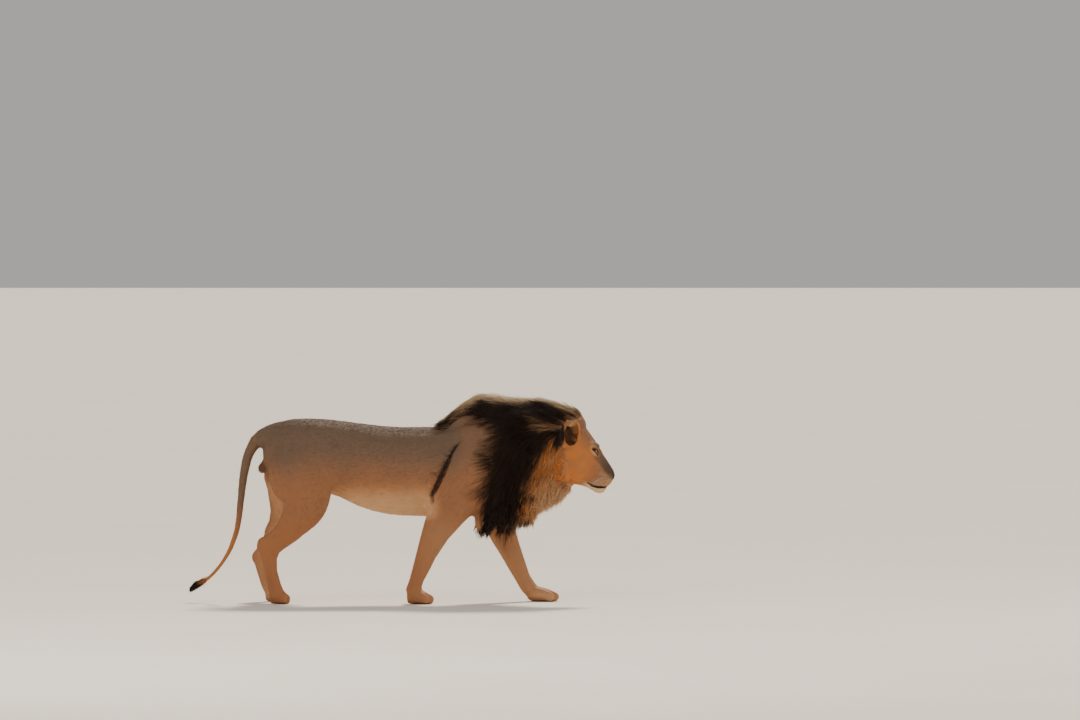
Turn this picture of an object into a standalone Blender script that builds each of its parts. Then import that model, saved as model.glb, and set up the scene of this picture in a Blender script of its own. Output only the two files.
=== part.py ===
"""A male lion walking, life size, divided into the parts of its body.

Metres, +X towards the head, +Y towards the lion's left, +Z up. The floor is Z = 0.
Every outline is taken at the tips of the coat, mane and tail tuft.
The body is made whole from tubes and balls of muscle, and is then parted with thin cuts.
"""

import math

import bmesh
import bpy
from mathutils import Euler, Matrix, Vector

# ---------------------------------------------------------------- driving sizes
WORDS = {1: "left", -1: "right"}  # the lion's sides, by the sign of their Y
GAP = 0.0004  # free space between two neighbouring parts
VOXEL = 0.0085  # grid on which the muscles grow into one surface
BLEND = 26  # rounds of smoothing over that surface
BODY_FACES = 3000  # triangles of the body before it is parted
HEAD_VOXEL = 0.005
HEAD_BLEND = 11
HEAD_FACES = 1010
SIDES = 20  # corners of a tube's ring

RUMP_HEIGHT = 0.984
BACK_HEIGHT = 0.943
BELLY_HEIGHT = 0.455
BARREL_HALF_WIDTH = 0.188

FORE_TRACK = 0.135  # how far each forepaw stands from the middle
HIND_TRACK = 0.118

HEAD_CUT = 0.845  # the cuts that part the body, along X and then up Z
MANE_MIDDLE_CUT = 0.620
MANE_CUT = 0.400
BELLY_CUT = 0.100
HIPS_CUT = -0.335
TAIL_CUT = -0.764
TUFT_CUT = -1.040
TAIL_CUTS = (0.420, 0.771)
KNEE_CUT = 0.458
HOCK_CUTS = {1: 0.225, -1: 0.290}  # of the left and the right leg
ELBOW_CUTS = {1: 0.424, -1: 0.447}
FOREPAW_CUT = 0.088
HIND_PAW_CUT = 0.082
FAR = 2.0  # beyond the body on every side

HEAD_AT = Vector((1.024, 0, 0.803))  # the point midway between the eyes
HEAD_PITCH = math.radians(20.0)  # nose down
MOUTH_LINE = -0.161  # below the eyes, in the head's frame
EYE_AT = (-0.009, 0.070, -0.003)  # the left eye's centre, in the head's frame
EYE_RADIUS = 0.0185
EAR_AT = (0.892, 0.150, 0.899)  # the middle of the left ear's opening
EAR_SIZE = (0.044, 0.053, 0.073)  # half its depth, width and height
EAR_WALL = 0.010
EAR_OPENS = math.radians(53.0)  # the opening's turn from straight ahead
EAR_SPLAY = math.radians(20.0)  # lean outwards
HEAD_POSE = Matrix.Translation(HEAD_AT) @ Matrix.Rotation(HEAD_PITCH, 4, "Y")

TAWNY = (0.42, 0.29, 0.18)
SAND = (0.55, 0.38, 0.22)
MANE_DARK = (0.045, 0.03, 0.025)
HORN = (0.02, 0.016, 0.014)
IRIS = (0.55, 0.33, 0.08)


# ---------------------------------------------------------------- shaping tools
def smooth_path(stations, steps):
    """The stations with `steps` stations to a stretch, on a curve through all of them."""
    points = [Vector(s) for s in stations]
    path = []
    for i in range(len(points) - 1):
        before, start = points[max(i - 1, 0)], points[i]
        end, after = points[i + 1], points[min(i + 2, len(points) - 1)]
        for k in range(steps):
            t = k / steps
            path.append(
                0.5
                * (
                    2 * start
                    + (end - before) * t
                    + (2 * before - 5 * start + 4 * end - after) * t**2
                    + (3 * start - before - 3 * end + after) * t**3
                )
            )
    path.append(points[-1])
    return path


def rounded(value, fullness):
    """A cosine or sine, drawn out towards a box's corner when the fullness is above 1."""
    return math.copysign(abs(value) ** (1 / fullness), value)


def tube(bm, stations, upright=False, steps=3, sides=SIDES, pose=Matrix(), fullness=1.0):
    """Adds a closed tube of oval rings.

    A station is (x, y, z, half depth, half width). The depth lies in the plane of the
    body's middle and the width across it. An upright tube keeps its rings vertical.
    """
    path = smooth_path(stations, steps)
    rings = []
    for i, station in enumerate(path):
        centre = Vector(station[:3])
        ahead = Vector(path[min(i + 1, len(path) - 1)][:3])
        behind = Vector(path[max(i - 1, 0)][:3])
        along = Vector((1, 0, 0)) if upright else (ahead - behind).normalized()
        across = (Vector((0, 1, 0)) - along * along.y).normalized()
        deep = along.cross(across).normalized()
        ring = []
        for k in range(sides):
            turn = 2 * math.pi * k / sides
            up = station[3] * rounded(math.cos(turn), fullness)
            out = station[4] * rounded(math.sin(turn), fullness)
            ring.append(bm.verts.new(pose @ (centre + deep * up + across * out)))
        rings.append(ring)
    made = [bm.faces.new(rings[0]), bm.faces.new(list(reversed(rings[-1])))]
    for lower, upper in zip(rings, rings[1:]):
        for k in range(sides):
            n = (k + 1) % sides
            made.append(bm.faces.new((lower[k], upper[k], upper[n], lower[n])))
    bmesh.ops.recalc_face_normals(bm, faces=made)


def ball(bm, centre, radii, turn=(0, 0, 0), pose=Matrix(), rings=12):
    """Adds an oval ball, turned by the angles `turn` in degrees."""
    placed = (
        pose
        @ Matrix.Translation(centre)
        @ Euler([math.radians(a) for a in turn]).to_matrix().to_4x4()
        @ Matrix.Diagonal((*radii, 1))
    )
    bmesh.ops.create_uvsphere(bm, u_segments=2 * rings, v_segments=rings, radius=1, matrix=placed)


def box(bm, low, high, pose=Matrix()):
    """Adds a box between two corners."""
    size = Vector(high) - Vector(low)
    middle = (Vector(high) + Vector(low)) / 2
    bmesh.ops.create_cube(bm, size=1, matrix=pose @ Matrix.Translation(middle) @ Matrix.Diagonal((*size, 1)))


def finish(name, colour, roughness=0.8):
    """A plain material."""
    material = bpy.data.materials.get(name) or bpy.data.materials.new(name)
    material.use_nodes = True
    shader = material.node_tree.nodes["Principled BSDF"]
    shader.inputs["Base Color"].default_value = (*colour, 1)
    shader.inputs["Roughness"].default_value = roughness
    shader.inputs["Metallic"].default_value = 0.0
    return material


def new_object(name, bm, material=None, helper=False):
    """An object from the bmesh. A helper is left out of the model."""
    mesh = bpy.data.meshes.new(name)
    bm.to_mesh(mesh)
    bm.free()
    made = bpy.data.objects.new(name, mesh)
    bpy.context.scene.collection.objects.link(made)
    if material:
        mesh.materials.append(material)
    if helper:
        made.hide_render = True
        made.display_type = "WIRE"
    return made


def bake(obj):
    """Applies the object's modifiers."""
    bpy.context.view_layer.update()
    graph = bpy.context.evaluated_depsgraph_get()
    old, obj.data = obj.data, bpy.data.meshes.new_from_object(obj.evaluated_get(graph))
    obj.modifiers.clear()
    bpy.data.meshes.remove(old)
    return obj


def add_boolean(obj, other, operation):
    """Adds an exact Boolean with another object."""
    modifier = obj.modifiers.new(operation.lower(), "BOOLEAN")
    modifier.operation = operation
    modifier.solver = "EXACT"
    modifier.object = other


def knife(low, high, pose=Matrix()):
    """Two boxes: the one that a part is taken out with, and one larger by the gap."""
    boxes = []
    for grow in (0.0, GAP):
        bm = bmesh.new()
        box(bm, [v - grow for v in low], [v + grow for v in high], pose)
        boxes.append(new_object("knife", bm, helper=True))
    return boxes


def part_out(name, source, low, high, material, pose=Matrix()):
    """Takes what lies between two corners out of `source`, as a part of its own."""
    inner, outer = knife(low, high, pose)
    part = bpy.data.objects.new(name, source.data.copy())
    bpy.context.scene.collection.objects.link(part)
    part.data.materials.clear()
    part.data.materials.append(material)
    add_boolean(part, inner, "INTERSECT")
    bake(part)
    add_boolean(source, outer, "DIFFERENCE")
    bake(source)
    for solid in (part, source):
        keep_largest(solid)
    for helper in (inner, outer):
        bpy.data.objects.remove(helper)
    return part


def keep_largest(obj):
    """Drops the crumbs that a cut leaves beside a part."""
    bm = bmesh.new()
    bm.from_mesh(obj.data)
    free = set(bm.verts)
    islands = []
    while free:
        island, front = set(), [free.pop()]
        while front:
            vertex = front.pop()
            island.add(vertex)
            for edge in vertex.link_edges:
                other = edge.other_vert(vertex)
                if other in free:
                    free.remove(other)
                    front.append(other)
        islands.append(island)
    islands.sort(key=len)
    crumbs = [vertex for island in islands[:-1] for vertex in island]
    bmesh.ops.delete(bm, geom=crumbs, context="VERTS")
    bm.to_mesh(obj.data)
    bm.free()


# ---------------------------------------------------------------- the body, whole
def add_trunk(bm):
    """Rump, loin, rib cage and chest: upright rings given by their back and belly lines."""
    lines = [
        (-0.745, 0.885, 0.745, 0.050),
        (-0.700, 0.935, 0.690, 0.092),
        (-0.610, 0.978, 0.640, 0.136),
        (-0.480, RUMP_HEIGHT, 0.600, 0.162),
        (-0.350, 0.975, 0.560, 0.168),
        (-0.220, 0.958, 0.500, 0.176),
        (-0.080, 0.942, 0.464, 0.184),
        (0.080, BACK_HEIGHT - 0.004, BELLY_HEIGHT - 0.001, BARREL_HALF_WIDTH),
        (0.230, 0.950, 0.452, 0.184),
        (0.420, 1.020, 0.462, 0.168),
        (0.560, 1.030, 0.500, 0.140),
        (0.650, 0.980, 0.580, 0.100),
    ]
    tube(
        bm,
        [(x, 0, (back + belly) / 2, (back - belly) / 2, wide) for x, back, belly, wide in lines],
        upright=True,
    )
    ball(bm, (-0.745, 0, 0.716), (0.034, 0.034, 0.040), (0, 20, 0))


def add_hind_leg(bm, side, thigh, shank, hock, foot):
    """Thigh, shank, hock and foot bone. Each is a list of stations without their Y."""
    y = [0.040, 0.092, 0.110, 0.124, 0.128, 0.127, 0.125, 0.123, 0.121, 0.119, HIND_TRACK]
    stations = thigh + shank + hock + foot
    tube(bm, [(x, side * y[i], z, deep, wide) for i, (x, z, deep, wide) in enumerate(stations)])


def add_right_hind_leg(bm):
    """The hind leg that carries the weight, its foot bone upright."""
    add_hind_leg(
        bm,
        -1,
        [(-0.560, 0.880, 0.100, 0.070), (-0.552, 0.720, 0.172, 0.098), (-0.525, 0.610, 0.160, 0.088)],
        [(-0.520, 0.520, 0.130, 0.072), (-0.560, 0.445, 0.096, 0.060), (-0.628, 0.378, 0.074, 0.051)],
        [(-0.684, 0.320, 0.066, 0.046), (-0.707, 0.262, 0.055, 0.042), (-0.702, 0.200, 0.044, 0.040)],
        [(-0.688, 0.135, 0.039, 0.040), (-0.668, 0.060, 0.043, 0.044)],
    )
    ball(bm, (-0.742, -0.125, 0.318), (0.026, 0.022, 0.042), (0, 28, 0))


def add_left_hind_leg(bm):
    """The other hind leg, a little further back and more bent."""
    add_hind_leg(
        bm,
        1,
        [(-0.570, 0.880, 0.100, 0.070), (-0.578, 0.720, 0.172, 0.098), (-0.566, 0.610, 0.168, 0.090)],
        [(-0.580, 0.505, 0.150, 0.076), (-0.622, 0.410, 0.112, 0.062), (-0.690, 0.325, 0.078, 0.051)],
        [(-0.740, 0.260, 0.062, 0.046), (-0.750, 0.205, 0.050, 0.042), (-0.740, 0.145, 0.043, 0.040)],
        [(-0.722, 0.095, 0.040, 0.040), (-0.700, 0.055, 0.043, 0.044)],
    )
    ball(bm, (-0.782, 0.125, 0.246), (0.025, 0.022, 0.038), (0, 30, 0))


def add_right_foreleg(bm):
    """The foreleg that has swung back: shoulder blade, upper arm, forearm and wrist."""
    tube(
        bm,
        [
            (0.395, -0.080, 0.950, 0.080, 0.055),
            (0.395, -0.112, 0.850, 0.120, 0.076),
            (0.370, -0.132, 0.710, 0.145, 0.082),
            (0.300, -0.142, 0.590, 0.138, 0.078),
            (0.226, -0.148, 0.470, 0.106, 0.068),
            (0.172, -0.148, 0.370, 0.080, 0.061),
            (0.128, -0.144, 0.270, 0.061, 0.053),
            (0.098, -0.140, 0.190, 0.052, 0.048),
            (0.070, -0.137, 0.120, 0.042, 0.045),
            (0.052, -FORE_TRACK, 0.060, 0.044, 0.047),
        ],
    )
    ball(bm, (0.172, -0.150, 0.540), (0.040, 0.034, 0.055), (0, 30, 0))


def add_left_foreleg(bm):
    """The foreleg that has swung forward."""
    tube(
        bm,
        [
            (0.440, 0.080, 0.950, 0.080, 0.055),
            (0.460, 0.112, 0.850, 0.115, 0.076),
            (0.480, 0.132, 0.710, 0.135, 0.082),
            (0.490, 0.142, 0.590, 0.120, 0.078),
            (0.500, 0.148, 0.470, 0.098, 0.068),
            (0.524, 0.148, 0.370, 0.080, 0.061),
            (0.562, 0.144, 0.285, 0.066, 0.053),
            (0.600, 0.140, 0.200, 0.056, 0.048),
            (0.632, 0.137, 0.132, 0.047, 0.045),
            (0.664, FORE_TRACK, 0.078, 0.046, 0.047),
            (0.694, FORE_TRACK, 0.044, 0.040, 0.045),
        ],
    )


def add_paw(bm, heel_x, side, track, length, width):
    """A paw flat on the floor: the heel, the back of the paw and four toes."""
    y = side * track
    top = 0.072
    tube(
        bm,
        [
            (heel_x + 0.004, y, 0.034, 0.026, width * 0.32),
            (heel_x + length * 0.18, y, 0.040, 0.044, width * 0.42),
            (heel_x + length * 0.50, y, 0.036, 0.042, width * 0.48),
            (heel_x + length * 0.76, y, 0.028, 0.034, width * 0.45),
        ],
        upright=True,
    )
    for place, reach in ((-1.5, 0.86), (-0.5, 1.0), (0.5, 1.0), (1.5, 0.86)):
        ball(
            bm,
            (heel_x + length * (reach - 0.18), y + place * width * 0.235, top * 0.34),
            (length * 0.18, width * 0.150, top * 0.42),
        )


def add_neck(bm):
    """The neck inside the mane."""
    tube(
        bm,
        [
            (0.400, 0.000, 0.840, 0.185, 0.135),
            (0.600, 0.000, 0.850, 0.165, 0.130),
            (0.780, 0.000, 0.840, 0.145, 0.120),
            (0.920, 0.000, 0.810, 0.130, 0.115),
        ],
    )


def add_mane(bm):
    """The mane's outer form: the mass round the neck, the crest, and the locks under the chest."""
    lines = [
        (0.360, 1.010, 0.620, 0.130),
        (0.420, 1.068, 0.520, 0.186),
        (0.480, 1.106, 0.450, 0.228),
        (0.550, 1.114, 0.424, 0.250),
        (0.630, 1.090, 0.430, 0.258),
        (0.700, 1.082, 0.470, 0.250),
        (0.760, 1.080, 0.506, 0.226),
        (0.810, 1.082, 0.532, 0.190),
        (0.855, 1.074, 0.556, 0.155),
        (0.900, 1.052, 0.610, 0.122),
        (0.944, 1.012, 0.740, 0.094),
        (0.974, 0.958, 0.800, 0.068),
    ]
    tube(
        bm,
        [(x, 0, (top + low) / 2, (top - low) / 2, wide) for x, top, low, wide in lines],
        upright=True,
    )
    crest = [
        (0.160, 0.905, 0.028, 0.050),
        (0.235, 0.927, 0.045, 0.068),
        (0.300, 0.966, 0.058, 0.085),
        (0.370, 1.002, 0.072, 0.100),
        (0.450, 1.025, 0.082, 0.120),
        (0.560, 1.030, 0.080, 0.130),
    ]
    tube(bm, [(x, 0, z, deep, wide) for x, z, deep, wide in crest])
    for side in (1, -1):
        tube(
            bm,
            [
                (0.540, side * 0.130, 0.660, 0.110, 0.078),
                (0.480, side * 0.130, 0.560, 0.100, 0.072),
                (0.440, side * 0.112, 0.470, 0.072, 0.058),
                (0.416, side * 0.098, 0.385, 0.036, 0.038),
            ],
        )
    tube(
        bm,
        [
            (0.600, 0, 0.620, 0.130, 0.130),
            (0.645, 0, 0.520, 0.085, 0.095),
            (0.660, 0, 0.430, 0.040, 0.045),
        ],
    )


def add_head(bm):
    """Skull, muzzle, brows, lids, cheeks and lower jaw, in the head's own frame."""
    skull = [
        (0.137, -0.080, -0.112, 0.026),
        (0.126, -0.064, -0.146, 0.044),
        (0.100, -0.043, -0.162, 0.060),
        (0.070, -0.020, -0.168, 0.064),
        (0.040, 0.002, -0.172, 0.066),
        (0.010, 0.030, -0.178, 0.077),
        (-0.020, 0.053, -0.186, 0.099),
        (-0.050, 0.074, -0.196, 0.118),
        (-0.090, 0.102, -0.210, 0.132),
        (-0.140, 0.120, -0.218, 0.138),
        (-0.200, 0.120, -0.215, 0.130),
        (-0.260, 0.110, -0.190, 0.110),
    ]
    tube(
        bm,
        [(x, 0, (top + low) / 2, (top - low) / 2, wide) for x, top, low, wide in skull],
        upright=True,
        pose=HEAD_POSE,
        fullness=1.22,
    )
    jaw = [
        (0.117, -0.150, -0.182, 0.026),
        (0.100, -0.146, -0.201, 0.042),
        (0.070, -0.142, -0.206, 0.052),
        (0.030, -0.140, -0.199, 0.060),
        (-0.015, -0.140, -0.198, 0.076),
        (-0.070, -0.140, -0.212, 0.096),
    ]
    tube(
        bm,
        [(x, 0, (top + low) / 2, (top - low) / 2, wide) for x, top, low, wide in jaw],
        upright=True,
        pose=HEAD_POSE,
        fullness=1.1,
    )
    for side in (1, -1):
        ball(bm, (0.084, side * 0.039, -0.122), (0.046, 0.034, 0.040), (0, 10, 0), HEAD_POSE)
        ball(bm, (-0.028, side * 0.050, 0.020), (0.052, 0.034, 0.026), (0, 38, side * 16), HEAD_POSE)
        ball(bm, (-0.021, side * 0.064, -0.005), (0.024, 0.023, 0.023), pose=HEAD_POSE)
        ball(bm, (-0.044, side * 0.076, -0.060), (0.084, 0.034, 0.052), (0, 14, side * -20), HEAD_POSE)


def add_tail(bm):
    """The tail, from inside the rump to the tip of its tuft. One radius is given per station."""
    line = [
        (-0.620, 0.925, 0.050),
        (-0.700, 0.908, 0.046),
        (-0.765, 0.875, 0.040),
        (-0.806, 0.815, 0.035),
        (-0.831, 0.750, 0.031),
        (-0.848, 0.660, 0.027),
        (-0.860, 0.562, 0.024),
        (-0.869, 0.465, 0.022),
        (-0.886, 0.371, 0.020),
        (-0.923, 0.275, 0.018),
        (-0.970, 0.200, 0.0165),
        (-1.026, 0.137, 0.016),
        (-1.070, 0.108, 0.019),
        (-1.105, 0.086, 0.018),
        (-1.134, 0.064, 0.007),
    ]
    tube(bm, [(x, 0, z, r, r) for x, z, r in line], steps=4, sides=14)


def share(body, name, weigh):
    """A vertex group whose weights are given by weigh(point)."""
    group = body.vertex_groups.new(name=name)
    for vertex in body.data.vertices:
        group.add([vertex.index], weigh(vertex.co), "REPLACE")
    return name


def softness(point):
    """How far the surface is smoothed: most on the trunk, little on the face, tail and paws."""
    if point.z < 0.085:
        return 0.12
    if point.x < -0.80:
        return 0.1
    return 0.5 if point.z < 0.42 else 1.0


def plainness(point):
    """How freely faces may be joined: least on the face and the paws."""
    return 0.6 if point.z < 0.085 else 1.0


def grown(name, bm, material, voxel, blend, faces):
    """One smooth surface round everything in the bmesh, with about so many triangles."""
    body = new_object(name, bm, material)
    remesh = body.modifiers.new("grow_together", "REMESH")
    remesh.mode = "VOXEL"
    remesh.voxel_size = voxel
    bake(body)
    smooth = body.modifiers.new("blend", "SMOOTH")
    smooth.factor = 0.5
    smooth.iterations = blend
    smooth.vertex_group = share(body, "soft", softness)
    thin = body.modifiers.new("thin_out", "DECIMATE")
    thin.ratio = faces / (2 * len(body.data.polygons))
    thin.vertex_group = share(body, "plain", plainness)
    thin.vertex_group_factor = 0.0002
    bake(body)
    body.vertex_groups.clear()
    return body


def whole_body(material):
    """Trunk, legs, paws, neck, mane and tail, with the head joined on, as one solid."""
    bm = bmesh.new()
    add_trunk(bm)
    add_right_hind_leg(bm)
    add_left_hind_leg(bm)
    add_right_foreleg(bm)
    add_left_foreleg(bm)
    add_paw(bm, -0.712, -1, HIND_TRACK, 0.124, 0.112)
    add_paw(bm, -0.742, 1, HIND_TRACK, 0.124, 0.112)
    add_paw(bm, 0.016, -1, FORE_TRACK, 0.155, 0.128)
    add_paw(bm, 0.654, 1, FORE_TRACK, 0.182, 0.128)
    add_neck(bm)
    add_mane(bm)
    add_tail(bm)
    body = grown("chest", bm, material, VOXEL, BLEND, BODY_FACES)
    bm = bmesh.new()
    add_head(bm)
    head = grown("head_form", bm, material, HEAD_VOXEL, HEAD_BLEND, HEAD_FACES)
    add_boolean(body, head, "UNION")
    bake(body)
    bpy.data.objects.remove(head)
    return body


# ---------------------------------------------------------------- the parts
def part_head(body, coat, nose_skin):
    """Takes the head off the body, and the lower jaw, nose and muzzle off the head."""
    head = part_out("head", body, (HEAD_CUT, -FAR, -FAR), (FAR, FAR, FAR), coat)
    part_out("lower_jaw", head, (-0.055, -FAR, -FAR), (FAR, FAR, MOUTH_LINE), coat, HEAD_POSE)
    part_out("nose", head, (0.116, -FAR, -0.118), (FAR, FAR, FAR), nose_skin, HEAD_POSE)
    part_out("muzzle", head, (0.044, -FAR, -FAR), (FAR, FAR, FAR), coat, HEAD_POSE)
    return head


def add_eye(side, name, head, iris):
    """An eyeball, and its socket in the head."""
    for grow, label in ((0.0, name), (GAP, name + "_socket")):
        bm = bmesh.new()
        centre = HEAD_POSE @ Vector((EYE_AT[0], side * EYE_AT[1], EYE_AT[2]))
        ball(bm, centre, (EYE_RADIUS + grow,) * 3, rings=8)
        eye = new_object(label, bm, iris, helper=grow > 0)
    add_boolean(head, eye, "DIFFERENCE")
    bake(head)
    bpy.data.objects.remove(eye)


def ear_solid(pose, grow):
    """The ear as a full half-egg, its front flat where the ear opens."""
    deep, wide, high = (size + grow for size in EAR_SIZE)
    bm = bmesh.new()
    ball(bm, (0, 0, 0), (deep, wide, high), pose=pose, rings=8)
    solid = new_object("ear_solid", bm)
    bm = bmesh.new()
    box(bm, (0.008 + grow, -0.2, -0.2), (0.2, 0.2, 0.2), pose)
    front = new_object("front", bm, helper=True)
    add_boolean(solid, front, "DIFFERENCE")
    bake(solid)
    bpy.data.objects.remove(front)
    return solid


def add_ear(side, name, neighbours, coat):
    """A cupped ear, and the pocket in each neighbour that its root stands in."""
    pose = (
        Matrix.Translation((EAR_AT[0], side * EAR_AT[1], EAR_AT[2]))
        @ Matrix.Rotation(-side * EAR_SPLAY, 4, "X")
        @ Matrix.Rotation(side * EAR_OPENS, 4, "Z")
    )
    ear = ear_solid(pose, 0.0)
    ear.name = name
    ear.data.materials.append(coat)
    bm = bmesh.new()
    ball(bm, (EAR_WALL * 0.6, 0, 0.004), [size - EAR_WALL for size in EAR_SIZE], pose=pose, rings=8)
    cup = new_object("cup", bm, helper=True)
    add_boolean(ear, cup, "DIFFERENCE")
    bake(ear)
    bpy.data.objects.remove(cup)
    pocket = ear_solid(pose, GAP)
    for neighbour in neighbours:
        add_boolean(neighbour, pocket, "DIFFERENCE")
        bake(neighbour)
        keep_largest(neighbour)
    bpy.data.objects.remove(pocket)


def part_foreleg(side, body, coat, reach):
    """Takes a forearm and its paw off the body. The leg lies between `reach` along X."""
    word = WORDS[side]
    outer, inner = sorted((side * FAR, side * 0.03))
    low = (reach[0], outer, -FAR)
    leg = part_out(f"foreleg_{word}", body, low, (reach[1], inner, ELBOW_CUTS[side]), coat)
    part_out(f"forepaw_{word}", leg, low, (reach[1], inner, FOREPAW_CUT), coat)


def part_hind_leg(side, body, coat):
    """Takes a shank, foot bone and paw off the body, and then the thigh."""
    word = WORDS[side]
    outer, inner = sorted((side * FAR, 0.0))
    low = (-FAR, outer, -FAR)
    shank = part_out(f"shank_{word}", body, low, (HIPS_CUT, inner, KNEE_CUT), coat)
    foot = part_out(f"hind_foot_{word}", shank, low, (HIPS_CUT, inner, HOCK_CUTS[side]), coat)
    part_out(f"hind_paw_{word}", foot, low, (HIPS_CUT, inner, HIND_PAW_CUT), coat)
    lean = Matrix.Translation((HIPS_CUT, side * 0.036, 0.60)) @ Matrix.Rotation(-side * 0.25, 4, "X")
    part_out(f"thigh_{word}", body, (-0.485, outer, -0.3), (-0.0002, inner, 0.25), coat, lean)


def part_tail(body, coat, tuft):
    """Takes the tail off in lengths, from its tip to its root."""
    low_cut, high_cut = TAIL_CUTS
    side = 0.07
    part_out("tail_tuft", body, (-FAR, -side, -FAR), (TUFT_CUT, side, low_cut), tuft)
    part_out("tail_end", body, (-FAR, -side, -FAR), (-0.80, side, low_cut), coat)
    part_out("tail_middle", body, (-FAR, -side, -FAR), (-0.792, side, high_cut), coat)
    part_out("tail_root", body, (-FAR, -side, high_cut), (TAIL_CUT, side, FAR), coat)


def part_trunk(body, coat, mane):
    """Divides what is left: the mane in two, hips, belly, shoulder and chest."""
    part_out("mane_front", body, (MANE_MIDDLE_CUT, -FAR, -FAR), (FAR, FAR, FAR), mane)
    part_out("mane_back", body, (MANE_CUT, -FAR, -FAR), (FAR, FAR, FAR), mane)
    part_out("hips", body, (-FAR, -FAR, -FAR), (HIPS_CUT, FAR, FAR), coat)
    part_out("belly", body, (-FAR, -FAR, -FAR), (BELLY_CUT, FAR, FAR), coat)
    lean = Matrix.Translation((0.28, -0.105, 0.66)) @ Matrix.Rotation(0.22, 4, "Y")
    part_out("shoulder_right", body, (-0.120, -FAR, -0.24), (0.115, 0.0, 0.25), coat, lean)


def build():
    """Makes every part."""
    for existing in list(bpy.data.objects):
        bpy.data.objects.remove(existing)
    coat = finish("coat", TAWNY)
    pale = finish("pale_coat", SAND)
    mane = finish("mane", MANE_DARK)
    nose_skin = finish("nose_skin", HORN, 0.4)
    iris = finish("iris", IRIS, 0.1)

    body = whole_body(coat)
    under = knife((-FAR, -FAR, -FAR), (FAR, FAR, 0.0))
    add_boolean(body, under[0], "DIFFERENCE")
    bake(body)
    for helper in under:
        bpy.data.objects.remove(helper)

    head = part_head(body, pale, nose_skin)
    part_tail(body, coat, mane)
    part_foreleg(-1, body, coat, (-0.20, 0.362))
    part_foreleg(1, body, coat, (0.30, 0.95))
    part_hind_leg(-1, body, coat)
    part_hind_leg(1, body, coat)
    part_trunk(body, coat, mane)
    for side, word in WORDS.items():
        add_ear(side, f"ear_{word}", (head, bpy.data.objects["mane_front"]), pale)
        add_eye(side, f"eye_{word}", head, iris)


build()
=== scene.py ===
"""A walking black-maned lion at life size: one skin, two eyes, and a coat of solid hair."""

import logging
import math
from dataclasses import dataclass, field
from enum import Enum
from typing import Callable, Optional, Union

import bpy
import numpy as np
from mathutils import Matrix, Vector
from mathutils.bvhtree import BVHTree
from mathutils.kdtree import KDTree


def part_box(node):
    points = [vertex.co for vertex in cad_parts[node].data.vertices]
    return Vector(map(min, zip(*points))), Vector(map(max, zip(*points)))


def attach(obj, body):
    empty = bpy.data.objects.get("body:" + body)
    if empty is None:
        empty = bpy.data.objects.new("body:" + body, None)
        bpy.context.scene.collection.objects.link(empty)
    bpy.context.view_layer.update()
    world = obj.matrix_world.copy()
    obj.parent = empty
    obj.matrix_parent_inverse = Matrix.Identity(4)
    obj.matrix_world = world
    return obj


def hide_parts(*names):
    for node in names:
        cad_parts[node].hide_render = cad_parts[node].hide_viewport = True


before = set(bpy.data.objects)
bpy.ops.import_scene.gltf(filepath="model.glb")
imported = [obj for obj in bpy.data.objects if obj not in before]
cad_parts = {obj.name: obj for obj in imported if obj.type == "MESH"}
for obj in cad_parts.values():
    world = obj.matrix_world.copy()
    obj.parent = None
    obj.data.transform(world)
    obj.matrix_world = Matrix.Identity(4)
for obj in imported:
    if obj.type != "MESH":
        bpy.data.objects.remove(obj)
LOG = logging.getLogger("lion")
Array = np.ndarray
Place = tuple[float, float, float]
UNWRAP = "OFBake"
EYES = ("eye_left", "eye_right")
EARS = ("ear_left", "ear_right")
PAWS = ("forepaw_left", "forepaw_right", "hind_paw_left", "hind_paw_right")
WAVE_COUNT = 7
WAVE_PEAK = 3.2


# ---------------------------------------------------------------- numbers
def ease(value: Array, low: float, high: float) -> Array:
    """Rises smoothly from 0 to 1 between two values.

    Args:
        value: What is measured.
        low: Where the rise starts.
        high: Where it ends; below `low` for a fall.

    Returns:
        The share, from 0 to 1.
    """
    share = np.clip((value - low) / (high - low), 0.0, 1.0)
    return share * share * (3.0 - 2.0 * share)


def unit(vectors: Array) -> Array:
    """Gives vectors a length of one."""
    return vectors / np.maximum(np.linalg.norm(vectors, axis=-1, keepdims=True), 1e-9)


def dot(first: Array, second: Array) -> Array:
    """The dot product of each pair of rows, as a column."""
    return (first * second).sum(axis=-1, keepdims=True)


def along_line(points: Array, start: Array, end: Array) -> Array:
    """Distance of points from a straight line between two ends.

    Args:
        points: The points, a row each.
        start: One end of the line.
        end: The other end.

    Returns:
        The distances, in metres.
    """
    run = end - start
    share = np.clip(((points - start) @ run) / max(float(run @ run), 1e-12), 0.0, 1.0)
    return np.linalg.norm(points - start - share[:, None] * run, axis=1)


def along_path(points: Array, path: tuple[tuple[float, float], ...]) -> Array:
    """Distance of points from a bent line in the middle plane.

    Args:
        points: The points, a row each.
        path: The line's corners, forwards and up.

    Returns:
        The distances, in metres.
    """
    ends = [np.array((forwards, 0.0, up)) for forwards, up in path]
    return np.min([along_line(points, start, end) for start, end in zip(ends[:-1], ends[1:])], axis=0)


def hump(far: Array, width: float) -> Array:
    """1 at no distance, falling away smoothly over a width."""
    return np.exp(-((far / width) ** 2))


def blend(first: Array, second: Array, share: Array) -> Array:
    """Rows of the first array turned into the second's, each by its share."""
    return first * (1 - share[:, None]) + second * share[:, None]


def way(points: Array, forwards: Union[Array, float], up: Union[Array, float]) -> Array:
    """A direction in the side view, for every point."""
    ones = np.ones(len(points))
    return np.stack([forwards * ones, 0 * ones, up * ones], axis=1)


def mirrored(place: Union[Array, Place], points: Array) -> Array:
    """A place or a direction of the left side, turned to each point's own side."""
    ones = np.ones(len(points))
    return np.asarray(place) * np.stack([ones, np.sign(points[:, 1]), ones], axis=1)


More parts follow.
